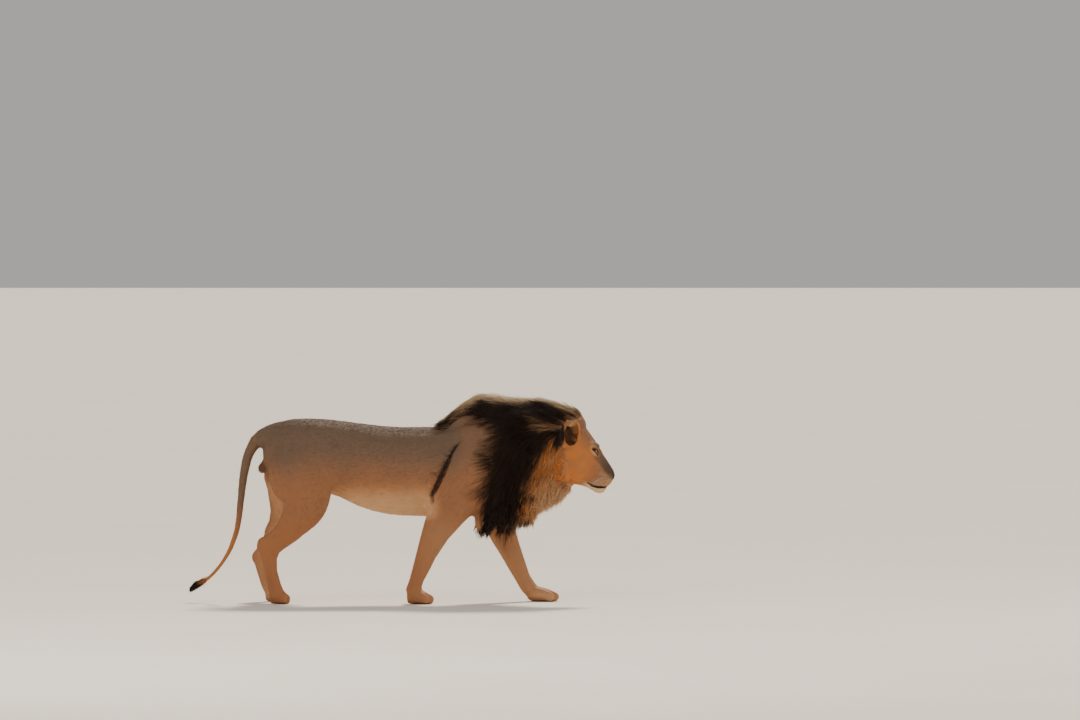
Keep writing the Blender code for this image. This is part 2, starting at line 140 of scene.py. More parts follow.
def box(node: str) -> Array:
    """The lowest and the highest corner of a solid, a row each."""
    return np.array(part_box(node))


def waves(points: Array, size: float, seed: int) -> Array:
    """A smooth uneven pattern over space.

    Args:
        points: Where it is read.
        size: How far apart its swells are, in metres.
        seed: Which pattern.

    Returns:
        Values of about -1 to 1.
    """
    chance = np.random.default_rng(seed)
    total = np.zeros(len(points))
    for _ in range(WAVE_COUNT):
        heading = unit(chance.normal(size=3)) * chance.uniform(0.6, 1.5) * math.tau / size
        total += np.sin(points @ heading + chance.uniform(0.0, math.tau))
    return total / WAVE_PEAK


# ---------------------------------------------------------------- the lion's own places
@dataclass(frozen=True)
class HeadFrame:
    """The head's own axes: forwards to the nose, left, and up, from between the eyes."""

    pitch: float = math.radians(20.0)
    eyes: Place = (-0.009, 0.0, -0.003)

    @property
    def origin(self) -> Array:
        """The root of the head's axes, which `eyes` places against the eyeballs."""
        corners = [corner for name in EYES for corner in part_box(name)]
        return np.array(corners).mean(axis=0) - np.array(self.eyes) @ self.axes

    @property
    def axes(self) -> Array:
        """Forwards, left and up, a row each."""
        return np.array(Matrix.Rotation(self.pitch, 3, "Y").transposed())

    def local(self, points: Array) -> Array:
        """Points in the head's own axes."""
        return (points - self.origin) @ self.axes.T

    def world(self, points: Array) -> Array:
        """Points of the head's own axes, in the lion's frame."""
        return np.asarray(points) @ self.axes + self.origin


@dataclass(frozen=True)
class Profile:
    """A value that changes along another, through given pairs."""

    pairs: tuple[tuple[float, float], ...]

    def at(self, value: Array) -> Array:
        """The value at each place."""
        places, values = zip(*self.pairs)
        return np.interp(value, places, values)


@dataclass(frozen=True)
class ManeBounds:
    """Where long hair is rooted, in the side view."""

    rear: Profile = Profile(
        (
            (0.40, 0.415), (0.49, 0.430), (0.55, 0.450), (0.63, 0.480), (0.69, 0.492),
            (0.77, 0.500), (0.86, 0.520), (0.94, 0.515), (0.98, 0.455), (1.01, 0.420),
        )
    )
    front: Profile = Profile(
        (
            (0.55, 0.925), (0.60, 0.918), (0.62, 0.900), (0.64, 0.855), (0.66, 0.825),
            (0.70, 0.808), (0.75, 0.808), (0.80, 0.826), (0.84, 0.832), (0.92, 0.838),
            (0.955, 0.900), (0.975, 0.945), (1.00, 0.955), (1.06, 0.950),
        )
    )
    top: Profile = Profile(
        (
            (0.16, 0.925), (0.20, 0.938), (0.237, 0.972), (0.288, 1.022), (0.348, 1.062),
            (0.423, 1.094), (0.491, 1.104), (0.60, 1.095), (0.70, 1.075), (0.80, 1.070),
            (0.863, 1.055), (0.914, 1.030), (0.948, 1.000), (0.965, 0.956),
        )
    )
    dark: Profile = Profile(
        (
            (0.42, 0.600), (0.50, 0.635), (0.60, 0.665), (0.70, 0.690), (0.80, 0.722),
            (0.85, 0.752), (0.89, 0.800), (0.92, 0.850), (0.96, 0.900), (1.00, 0.960),
        )
    )
    hem: float = 0.43
    hem_drop: float = 0.06
    crest: float = 0.055
    depth: float = 0.045

    def behind_front(self, points: Array) -> Array:
        """How far points lie behind the mane's front border."""
        return self.front.at(points[:, 2]) - points[:, 0]

    def crest_foot(self, points: Array) -> Array:
        """How high the crest's hair begins."""
        return self.top.at(points[:, 0]) - self.crest


class Mark(Enum):
    """What colours the hair at a root."""

    DARK = "dark"
    WARM = "warm"
    GREY = "grey"
    PALE = "pale"
    # Painted rim light on the crest's upward-facing tips.
    TIPPED = "tipped"


@dataclass(frozen=True)
class Pattern:
    """The lion's markings and the lie of its coat, for any point on it."""

    head: HeadFrame = HeadFrame()
    mane: ManeBounds = ManeBounds()
    fringe: tuple[tuple[float, float], ...] = (
        (0.305, 0.862), (0.262, 0.800), (0.238, 0.745), (0.193, 0.649), (0.160, 0.581), (0.166, 0.545),
    )

    def long_hair(self, points: Array) -> Array:
        """How much of the mane is rooted at each point.

        Args:
            points: Points on the lion.

        Returns:
            1 in the mane, 0 where the coat is short.
        """
        x, y, z = points.T
        rear, foot = self.mane.rear.at(z), self.mane.crest_foot(points)
        hem = np.where(y > 0.04, self.mane.hem, self.mane.hem - self.mane.hem_drop)
        uneven = 0.011 * waves(points, 0.11, 15) + 0.009 * waves(points, 0.035, 16)
        body = ease(x + uneven, rear - 0.02, rear + 0.02)
        body *= ease(self.mane.behind_front(points), -0.006, 0.014) * ease(z, hem, hem + 0.03)
        crest = ease(z, foot, foot + 0.025) * ease(x, 0.19, 0.24) * ease(x, 0.56, 0.50)
        return np.maximum(body, crest) * (1 - self.in_ear(points))

    def mane_roots(self, points: Array) -> Array:
        """How thickly the mane's locks stand: also on the rear of the cheeks, where they are short.

        Args:
            points: Points on the lion.

        Returns:
            The share, from 0 to 1.
        """
        x, y, z = points.T
        cheek = ease(self.mane.behind_front(points), -0.090, -0.010)
        cheek = cheek * ease(z, 1.0, 0.97) * ease(x, 0.70, 0.76)
        cheek *= ease(np.abs(y), 0.05, 0.09) * ease(z, 0.55, 0.62) * (1 - self.in_ear(points))
        return np.maximum(self.long_hair(points), 0.9 * cheek)

    def hair_length(self, points: Array) -> Array:
        """How long the hair at each root is, from 0 to 1: short on the cheeks and the crest's rear end."""
        behind = self.mane.behind_front(points)
        share = 0.09 + 0.15 * ease(behind, -0.090, -0.010) + 0.76 * ease(behind, -0.010, 0.095)
        return share * (0.35 + 0.65 * ease(points[:, 0], 0.20, 0.42))

    def hair_depth(self, points: Array) -> Array:
        """How deep the long hair is.

        Args:
            points: Points on the lion.

        Returns:
            0 at the mane's borders, 1 in its middle.
        """
        x, _, z = points.T
        rear, foot, hem = self.mane.rear.at(z), self.mane.crest_foot(points), self.mane.hem
        body = ease(x, rear - 0.02, rear + 0.11)
        body *= ease(self.mane.behind_front(points), -0.006, 0.085) * ease(z, hem - 0.03, hem + 0.09)
        crest = 0.5 * ease(z, foot, foot + 0.045) * ease(x, 0.20, 0.34) * ease(x, 0.62, 0.50)
        return np.maximum(body, crest) * (1 - self.in_ear(points))

    def on_tail(self, points: Array) -> Array:
        """1 on the tail, 0 elsewhere."""
        return ease(points[:, 0], -0.775, -0.800) * ease(np.abs(points[:, 1]), 0.060, 0.050)

    def depth(self, points: Array) -> Array:
        """How deep the skin lies under the coat's tips.

        Args:
            points: Points on the outer form.

        Returns:
            The depths, in metres.
        """
        x, _, z = points.T
        short = 0.0055 - 0.0030 * ease(x, 0.86, 0.95) - 0.0025 * ease(z, 0.14, 0.06)
        short = short - 0.0015 * self.in_ear(points)
        tuft = 0.004 * ease(x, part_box("tail_tuft")[1].x, -1.06)
        return short + self.mane.depth * self.hair_depth(points) + tuft

    def on_fringe(self, points: Array) -> Array:
        """The line of longer dark hair behind each shoulder.

        Args:
            points: Points on the lion.

        Returns:
            1 on the line, 0 elsewhere.
        """
        _, y, z = points.T
        flat = points * (1.0, 0.0, 1.0)
        flat[:, 0] -= 0.085 * ease(z, 0.90, 0.58) * (y > 0)
        wide = 0.0032 + 0.0105 * ease(z, 0.87, 0.70) * ease(z, 0.55, 0.64)
        return ease(along_path(flat, self.fringe), 1.6 * wide, 0.4 * wide) * ease(np.abs(y), 0.06, 0.09)

    def in_ear(self, points: Array) -> Array:
        """1 within the boxes of the two ears, 0 elsewhere."""
        return np.max([ease(EarShape(name).beyond(points), 0.004, -0.004) for name in EARS], axis=0)

    def comb(self, points: Array) -> Array:
        """The way that the coat lies.

        Args:
            points: Points on the lion.

        Returns:
            A direction for each, not yet laid on the surface.
        """
        x, _, z = points.T
        lie = way(points, -1.0, -0.12 - 0.85 * ease(z, 0.80, 0.52))
        lie = blend(lie, way(points, -0.22, -1.0), ease(z, 0.52, 0.42))
        lie = blend(lie, way(points, 0.9, -0.45), ease(z, 0.10, 0.06))
        tail = blend(way(points, -0.12, -1.0), way(points, -0.62, -0.80), ease(z, 0.48, 0.34))
        tail = blend(tail, way(points, -0.95, -0.35), ease(z, 0.18, 0.12))
        lie = blend(lie, tail, self.on_tail(points))
        lie = blend(lie, way(points, -0.42, -0.95), self.on_fringe(points))
        lie = blend(lie, self.face_lie(points), ease(x, 0.84, 0.90))
        lie = blend(lie, self.ear_lie(points), self.in_ear(points))
        return unit(blend(lie, self.mane_lie(points), self.long_hair(points)))

    def face_lie(self, points: Array) -> Array:
        """The lie on the face: back from the nose, up the brow, down the chin, and out to the sides.

        Args:
            points: Points on the lion.

        Returns:
            A direction for each.
        """
        up = self.head.local(points)[:, 2]
        forwards, _, upwards = self.head.axes
        rise = 0.45 * ease(up, -0.05, 0.02) - 0.45 * ease(up, -0.06, -0.12)
        return -forwards + rise[:, None] * upwards + mirrored((0.0, 0.25, 0.0), points)

    def ear_lie(self, points: Array) -> Array:
        """The lie on the ears: away from the root of each."""
        return unit(points - mirrored(EarShape("ear_left").centre - (0.010, 0.0, 0.060), points))

    def mane_lie(self, points: Array) -> Array:
        """The lie of the mane: down and back, flat over the crest, and out at the sides.

        Args:
            points: Points on the lion.

        Returns:
            A direction for each.
        """
        x, y, z = points.T
        high = ease(z, 0.80, 1.03)
        fall = blend(way(points, -0.34, -1.0), way(points, -1.0, 0.16), high)
        back = ease(x, 0.62, 0.50) * (1 - high)
        fall = fall + back[:, None] * way(points, -0.30, 0.0)
        fall[:, 1] += 0.10 * np.sign(y) * ease(z, 0.9, 0.7)
        return fall

    def marks(self, points: Array, normals: Array, scatter: Array) -> dict[Mark, Array]:
        """The markings at each point.

        Args:
            points: Points on the lion's skin.
            normals: The skin's outward directions there.
            scatter: A chance number from -1 to 1 for each, that breaks the edges up.

        Returns:
            The share of each mark, from 0 to 1.
        """
        return Marking(self, points, normals, scatter).lay()


@dataclass(frozen=True)
class Lids:
    """The slit between the lids of one eye."""

    node: str
    half_length: float = 0.0215
    over: float = 0.0064
    under: float = 0.0066
    thickness: float = 0.0026
    depth: float = 0.012
    opens: Place = (0.70, 0.71, 0.08)
    gaze: Place = (0.77, 0.64, 0.05)
    slant: Place = (-0.61, 0.45, 0.65)

    @property
    def centre(self) -> Array:
        """The eyeball's centre."""
        return np.array(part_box(self.node)).mean(axis=0)

    @property
    def radius(self) -> float:
        """The eyeball's radius."""
        low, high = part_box(self.node)
        return (high.x - low.x) / 2

    @property
    def axes(self) -> tuple[Array, Array, Array]:
        """Along the slit to its outer corner, across it upwards, and out of the eye."""
        out, slit = self.sided(self.opens), self.sided(self.slant)
        slit = unit(slit - (slit @ out) * out)
        return slit, np.cross(out, slit) * self.side, out

    @property
    def side(self) -> float:
        """1 for the left eye, -1 for the right."""
        return math.copysign(1.0, float(self.centre[1]))

    def sided(self, way: Place) -> Array:
        """A direction of the left eye, turned to this eye's side."""
        return unit(np.array(way) * (1.0, self.side, 1.0))

    def spread(self, points: Array) -> tuple[Array, Array, Array]:
        """Points along the slit, across it and out of the eye."""
        slit, across, out = self.axes
        away = points - self.centre
        return away @ slit, away @ across, away @ out

    def outside(self, points: Array) -> Array:
        """How far points lie outside the slit's edge.

        Args:
            points: Points on the head.

        Returns:
            The distances, in metres; below zero within the slit.
        """
        run, rise, _ = self.spread(points)
        share = np.clip(np.abs(run) / self.half_length, 0, 1)
        half = np.where(rise > 0, self.over * (1 - share**3), self.under * (1 - share**2))
        beyond = np.maximum(np.abs(run) - self.half_length, 0.0)
        return np.hypot(np.maximum(np.abs(rise) - half, 0), beyond) + np.minimum(np.abs(rise) - half, 0)

    def before(self, points: Array) -> Array:
        """1 on the eye's front, 0 behind it or far from it."""
        near = np.linalg.norm(points - self.centre, axis=1)
        return ease(self.spread(points)[2], -0.004, 0.004) * ease(near, 0.050, 0.036)

    def below(self, points: Array) -> Array:
        """1 under the slit, 0 over it."""
        return ease(self.spread(points)[1], -0.003, -0.009)

    def tear(self, points: Array) -> Array:
        """Distance from the dark line that runs down from the inner corner.

        Args:
            points: Points on the head.

        Returns:
            The distances, growing downwards, so that the line tapers.
        """
        slit, _, out = self.axes
        corner = self.centre - slit * (self.half_length - 0.001)
        drop = np.array((-0.003, 0.0, -0.032))
        flat = points - dot(points - corner, out) * out
        far = along_line(flat, corner, corner + drop - (drop @ out) * out)
        down = corner[2] - points[:, 2]
        return np.where(points[:, 1] * self.side > 0, far + 0.07 * np.maximum(down, 0.0), 1.0)


@dataclass(frozen=True)
class Muzzle:
    """The nose leather, the nostrils, the lips and the whisker rows, in the head's axes."""

    leather: Profile = Profile(
        (
            (-0.150, 0.0015), (-0.130, 0.003), (-0.118, 0.010), (-0.108, 0.024), (-0.100, 0.038),
            (-0.090, 0.045), (-0.076, 0.043), (-0.064, 0.040), (-0.056, 0.030), (-0.052, 0.0),
        )
    )
    nostril: Place = (0.131, 0.022, -0.095)
    wing: Place = (0.110, 0.038, -0.085)
    line: tuple[tuple[float, float], ...] = (
        (0.130, -0.146), (0.120, -0.152), (0.105, -0.163),
        (0.073, -0.174), (0.045, -0.176), (0.012, -0.170),
    )

    def bare(self, near: Array) -> Array:
        """1 on the bare nose, 0 on hair."""
        lx, ly, lz = near.T
        front = ease(lx + 0.30 * (lz + 0.09), 0.106, 0.110)
        return ease(self.leather.at(lz) - np.abs(ly), -0.0015, 0.0015) * front

    def nostrils(self, near: Array) -> Array:
        """Distance from the comma-shaped openings of the nose.

        Args:
            near: Points in the head's axes.

        Returns:
            The distances, in metres; a metre behind the nose.
        """
        flip = np.stack([near[:, 0], np.abs(near[:, 1]), near[:, 2]], axis=1)
        hole = np.linalg.norm(flip - np.array(self.nostril), axis=1) - 0.0045
        slit = along_line(flip, np.array(self.nostril), np.array(self.wing))
        return np.where(near[:, 0] > 0.095, np.minimum(hole, slit), 1.0)

    def lips(self, near: Array) -> Array:
        """Distance from the closed mouth's line, all round the muzzle."""
        lx, ly, lz = near.T
        parting = 0.014 * hump(ly, 0.016) * ease(lx, 0.092, 0.112)
        return along_path(np.stack([lx, 0 * ly, lz - parting], axis=1), self.line)

    def spots(self) -> list[tuple[float, float]]:
        """The roots of the whiskers, in rows, in the side view."""
        return [
            (0.104 - 0.0135 * column - 0.002 * row, -0.108 - 0.0115 * row - 0.0022 * column)
            for row in range(4)
            for column in range(5)
        ]


@dataclass(frozen=True)
class EarShape:
    """Which way the surface of one ear faces."""

    node: str
    opens: float = math.radians(53.0)

    @property
    def centre(self) -> Array:
        """The middle of the ear's box."""
        return box(self.node).mean(axis=0)

    @property
    def opening(self) -> Array:
        """The way that the hollow faces."""
        side = math.copysign(1.0, float(self.centre[1]))
        return np.array((math.cos(self.opens), side * math.sin(self.opens), 0.10))

    def beyond(self, points: Array) -> Array:
        """How far points lie outside the ear's box; below zero inside it."""
        low, high = box(self.node)
        return np.maximum(low - points, points - high).max(axis=1)

    def inside_box(self, points: Array) -> Array:
        """True for points in the ear's box, or just outside it."""
        return self.beyond(points) < 0.003

    def reach(self, points: Array) -> Array:
        """Distance from the ear's centre, as a share of its box."""
        low, high = box(self.node)
        return np.linalg.norm((points - self.centre) / (0.5 * (high - low)), axis=1)

    def hollow(self, points: Array, normals: Array) -> Array:
        """1 on the hollow's wall."""
        inwards = dot(normals, unit(self.centre + 0.03 * self.opening - points))[:, 0]
        return (self.reach(points) < 0.95) * (inwards > 0.15)

    def behind(self, points: Array, normals: Array) -> Array:
        """1 on the ear's back."""
        back = (normals @ self.opening < -0.20) & ((points - self.centre) @ self.opening < 0.010)
        return back * self.inside_box(points) * (points[:, 2] > self.centre[2] - 0.045)

    def lining(self, points: Array, normals: Array) -> Array:
        """1 on the front part of the hollow's wall, where its long hairs are rooted."""
        front = ease(points[:, 0], self.centre[0] - 0.010, self.centre[0] + 0.020)
        return self.hollow(points, normals) * front * ease(self.from_rim(points), 0.030, 0.006)

    def from_rim(self, points: Array) -> Array:
        """How far points lie behind the plane of the rim."""
        return np.maximum((self.centre + 0.022 * self.opening - points) @ self.opening, 0.0)


@dataclass
class Marking:
    """The marks at some points of the skin, laid on region by region."""

    pattern: Pattern
    points: Array
    normals: Array
    scatter: Array
    shares: dict[Mark, Array] = field(init=False)
    x: Array = field(init=False)
    z: Array = field(init=False)
    side: Array = field(init=False)
    near: Array = field(init=False)
    long: Array = field(init=False)
    face: Array = field(init=False)
    tail: Array = field(init=False)
    trunk: Array = field(init=False)

    def __post_init__(self) -> None:
        """Works out what the regions share."""
        self.x, y, self.z = self.points.T
        self.side = np.abs(y)
        self.near = self.pattern.head.local(self.points)
        self.long = self.pattern.long_hair(self.points)
        self.face = ease(self.x, 0.80, 0.90) * (1 - self.long)
        self.tail = self.pattern.on_tail(self.points)
        self.trunk = (1 - self.face) * (1 - self.tail)
        self.shares = {mark: np.zeros(len(self.points)) for mark in Mark}

    def lay(self) -> dict[Mark, Array]:
        """Lays all the marks on.

        Returns:
            The share of each mark, from 0 to 1.
        """
        self.mane()
        self.trunk_and_legs()
        self.tail_and_fringe()
        self.bridge()
        self.cheeks_and_chin()
        for name in EYES:
            self.eye(Lids(name))
        self.lips()
        for name in EARS:
            self.ear(EarShape(name))
        self.rear_and_soles()
        return self.shares

    def deepen(self, **shares: Array) -> None:
        """Raises marks, by name, to a share where they have less."""
        for name, share in shares.items():
            self.shares[Mark(name)] = np.maximum(self.shares[Mark(name)], share)

    def cover(self, chosen: Array, **shares: Union[Array, float]) -> None:
        """Gives marks, by name, a share where points are chosen."""
        for name, share in shares.items():
            self.shares[Mark(name)] = np.where(chosen > 0.5, share, self.shares[Mark(name)])

    def mane(self) -> None:
        """Black behind, golden in front, with wisps behind the ear, painted rim light on the crest's upward
        tips and the forelock's front, and painted backlight that pales the lower ruff.
        """
        x, z, long, scatter = self.x, self.z, self.long, self.scatter
        mane = self.pattern.mane
        border = mane.dark.at(z) + 0.016 * waves(self.points, 0.06, 5) + 0.050 * scatter**3
        ahead = ease(x - border, -0.020, 0.020)
        self.deepen(dark=ease(long, 0.0, 0.7) * (1 - ahead))
        self.deepen(dark=long * ease(z, 0.50, 0.45) * 0.6)
        # Painted rim light: the crest's hairs are paler where the skin faces up.
        crown = mane.top.at(x)
        crest = long * ease(z + 0.015 * scatter, crown - 0.095, crown - 0.065)
        self.deepen(tipped=crest * ease(self.normals[:, 2], 0.76, 0.90))
        behind_ear = np.hypot((x - 0.833) / 0.024, (z - 0.897) / 0.068) + 0.15 * scatter
        self.deepen(dark=ease(behind_ear, 1.15, 0.85) * ease(self.side, 0.07, 0.10))
        wisps = long * ease(np.hypot(x - 0.812, (z - 0.950) * 1.5) + 0.020 * scatter, 0.052, 0.024)
        wisps *= ease(self.side, 0.09, 0.12)
        self.shares[Mark.DARK] = self.shares[Mark.DARK] * (1 - 0.6 * wisps)
        self.deepen(dark=0.60 * long * ahead * ease(-scatter, 0.50, 0.90) * ease(z, 0.62, 0.74))
        self.deepen(warm=long * ahead * (1 - self.shares[Mark.DARK]))
        self.deepen(warm=0.45 * wisps, pale=0.50 * wisps)
        # Painted rim light along the forelock's front.
        self.deepen(pale=0.4 * long * ease(x, 0.90, 0.94))
        self.deepen(pale=0.75 * long * ahead * ease(scatter, 0.55, 0.95))
        # Painted backlight: the lower ruff, shaded from below, is made paler.
        low_ruff = long * ahead * ease(z, 0.76, 0.60) * ease(z, 0.50, 0.56) * ease(x, 0.64, 0.74)
        self.deepen(pale=0.66 * low_ruff)

    def trunk_and_legs(self) -> None:
        """Grey above, golden on the belly, pale between the legs, and darker along the back: the coat's own
        colours, with painted shade on the grey upper side and where the back faces up, and painted warm
        bounce light on the belly and legs.
        """
        x, z, trunk = self.x, self.z, self.trunk
        short = 1 - self.long
        # Grey upper side: partly the coat's own tone, partly painted shade.
        upper = trunk * short * ease(z + 0.02 * waves(self.points, 0.21, 3), 0.60, 0.84)
        self.deepen(grey=upper * (1 - 0.30 * ease(x, 0.26, 0.34)))
        # Golden belly: the coat's own pale belly, with painted warm bounce light.
        belly = trunk * short * ease(z, 0.66, 0.52) * ease(z, 0.43, 0.48) * ease(x, -0.42, -0.28)
        belly *= ease(x, 0.22, 0.12)
        self.deepen(pale=0.62 * belly, warm=0.90 * belly)
        inner = ease(self.side, 0.115, 0.060) * ease(z, 0.70, 0.55) * trunk
        self.deepen(warm=0.55 * inner, pale=0.42 * inner)
        # Warmer, paler legs: partly painted warm bounce light.
        legs = ease(z, 0.50, 0.36) * trunk
        self.deepen(warm=0.15 * legs, pale=0.13 * legs * ease(x, 0.0, 0.2))
        # Darker where the back faces up: partly the coat's own darker line, partly painted shade.
        back = ease(self.normals[:, 2], 0.55, 0.95) * ease(z, 0.86, 0.92) * trunk * short
        self.deepen(dark=0.30 * back)

    def tail_and_fringe(self) -> None:
        """The tail's dark end, and the dark line behind each shoulder."""
        self.deepen(grey=self.tail * ease(self.z, 0.25, 0.55) * 0.9)
        self.deepen(warm=self.tail * ease(self.z, 0.60, 0.25) * 0.5)
        self.deepen(dark=self.tail * ease(self.x, -1.035, -1.065))
        fringe = ease(self.pattern.on_fringe(self.points) + 0.2 * self.scatter, 0.1, 0.7)
        self.deepen(dark=0.85 * fringe * (1 - self.long))

    def bridge(self) -> None:
        """The grey band down the nose and over the forehead, darker towards the nose: partly the coat's own
        colour, partly painted shade.
        """
        lx, _, lz = self.near.T
        side = self.side
        # Grey, darker band on the bridge: partly painted shade.
        band = self.face * ease(side, 0.098, 0.072) * ease(lx, -0.05, 0.0)
        band *= ease(lz + 0.62 * lx + 0.004 * waves(self.points, 0.02, 8), -0.046, -0.020)
        self.deepen(grey=0.95 * band)
        self.deepen(dark=band * (0.20 + 0.30 * ease(lx, 0.02, 0.10) + 0.14 * ease(side, 0.05, 0.02)))
        self.deepen(grey=0.50 * self.face * ease(lz, 0.02, 0.06) * ease(side, 0.10, 0.06))

    def cheeks_and_chin(self) -> None:
        """Golden cheeks, a pale chin and upper lip, dark flecks on the brow and the whisker rows."""
        x, z, side, face = self.x, self.z, self.side, self.face
        lx, ly, lz = self.near.T
        ruff = ease(x, 0.72, 0.76) * ease(x, 0.87, 0.83) * ease(z, 0.88, 0.84) * ease(z, 0.50, 0.56)
        ruff *= 1 - self.shares[Mark.DARK]
        cheek = face * ease(lx, 0.07, -0.05) * ease(lz, 0.06, -0.02)
        cheek *= 0.60 + 0.22 * waves(self.points, 0.07, 18)
        self.deepen(warm=np.maximum(0.90 * ruff, cheek))
        chin = face * ease(lz, -0.160, -0.178) * ease(lx, -0.02, 0.03)
        middle = np.maximum(ease(side, 0.006, 0.020), ease(lz, -0.126, -0.138))
        pad = face * ease(lx, 0.030, 0.066) * ease(lz, -0.078, -0.108) * middle
        self.deepen(pale=np.maximum(0.88 * chin, 0.20 * pad))
        brow = face * ease(lz, 0.035, 0.060) * ease(lz, 0.16, 0.10) * ease(side, 0.10, 0.07)
        self.deepen(dark=0.16 * brow * ease(waves(self.points, 0.012, 9), 0.1, 0.8))
        for column, row in Muzzle().spots():
            spot = 0.75 * ease(np.hypot(lx - column, lz - row), 0.0036, 0.0014)
            self.deepen(dark=face * spot * ease(np.abs(ly), 0.01, 0.02))

    def eye(self, lids: Lids) -> None:
        """The lids' black rim, a broader soft dark ring that is partly painted shade, the pale hair round it
        and the dark line below the inner corner.

        Args:
            lids: The slit of that eye.
        """
        rim, before, below = lids.outside(self.points), lids.before(self.points), lids.below(self.points)
        self.deepen(dark=0.97 * ease(rim, 0.0066, 0.0038) * before)
        under_eye = ease(rim, 0.019, 0.011) * ease(rim, 0.0050, 0.0080) * before
        self.deepen(pale=0.55 * under_eye * below)
        over_eye = ease(rim, 0.030, 0.020) * ease(rim, 0.0090, 0.0140) * before
        self.deepen(pale=0.22 * over_eye * (1 - below))
        # Broader dark ring round the eye: partly painted shade from the brow.
        self.deepen(dark=0.30 * ease(rim, 0.0150, 0.0050) * before)
        self.deepen(dark=0.62 * ease(lids.tear(self.points), 0.0070, 0.0010) * self.face)

    def lips(self) -> None:
        """The black line of the closed mouth, widest along its sides."""
        lx = self.near[:, 0]
        wide = 0.0030 * ease(lx, 0.01, 0.04) * ease(lx, 0.115, 0.085)
        self.deepen(dark=0.97 * ease(Muzzle().lips(self.near) - wide, 0.0050, 0.0028) * self.face)

    def ear(self, shape: EarShape) -> None:
        """A hollow that darkens with depth behind the rim as painted shade, a black back and a pale rim.

        Args:
            shape: The ear.
        """
        hollow = self.pattern.in_ear(self.points) * shape.hollow(self.points, self.normals)
        behind = shape.behind(self.points, self.normals)
        rim, inside = shape.from_rim(self.points), shape.inside_box(self.points)
        uneven = 0.90 + 0.05 * waves(self.points, 0.030, 12)
        # Painted shade: the hollow darkens with its depth behind the rim.
        self.cover(hollow, dark=uneven * ease(rim, 0.009, 0.022), warm=0.9)
        self.cover(behind, dark=0.97 * ease(rim, 0.008, 0.016))
        self.deepen(pale=0.34 * inside * ease(rim, 0.010, 0.003), warm=0.60 * inside)

    def rear_and_soles(self) -> None:
        """The dark patch under the tail's root, and the dark soles."""
        rear = np.linalg.norm((self.points - (-0.749, 0.0, 0.722)) * (1.0, 0.7, 1.0), axis=1)
        self.deepen(dark=0.55 * ease(rear, 0.040, 0.022) * (1 - self.tail))
        soles = ease(self.z, 0.010, 0.004) * ease(-self.normals[:, 2], 0.4, 0.8)
        self.deepen(dark=0.8 * soles)


# ---------------------------------------------------------------- finishes
class Signal:
    """A shader value that ordinary arithmetic works on."""

    def __init__(self, graph: "Graph", socket: bpy.types.NodeSocket) -> None:
        """Wraps one output socket."""
        self.graph = graph
        self.socket = socket

    def _math(self, operation: str, first: "Operand", second: "Operand") -> "Signal":
        """One Math node on two values."""
        node = self.graph.add("ShaderNodeMath", {"operation": operation}, {0: first, 1: second})
        return Signal(self.graph, node.outputs[0])

    def __add__(self, other: "Operand") -> "Signal":
        """self + other."""
        return self._math("ADD", self, other)

    __radd__ = __add__

    def __mul__(self, other: "Operand") -> "Signal":
        """self * other."""
        return self._math("MULTIPLY", self, other)

    __rmul__ = __mul__

    def __sub__(self, other: "Operand") -> "Signal":
        """self - other."""
        return self._math("SUBTRACT", self, other)

    def __rsub__(self, other: "Operand") -> "Signal":
        """other - self."""
        return self._math("SUBTRACT", other, self)

    def kept(self) -> "Signal":
        """The value, held between 0 and 1."""
        node = self.graph.add("ShaderNodeClamp", {}, {0: self})
        return Signal(self.graph, node.outputs[0])


Operand = Union[Signal, float]
Colour = tuple[float, float, float]
Paint = Union[Signal, Colour]


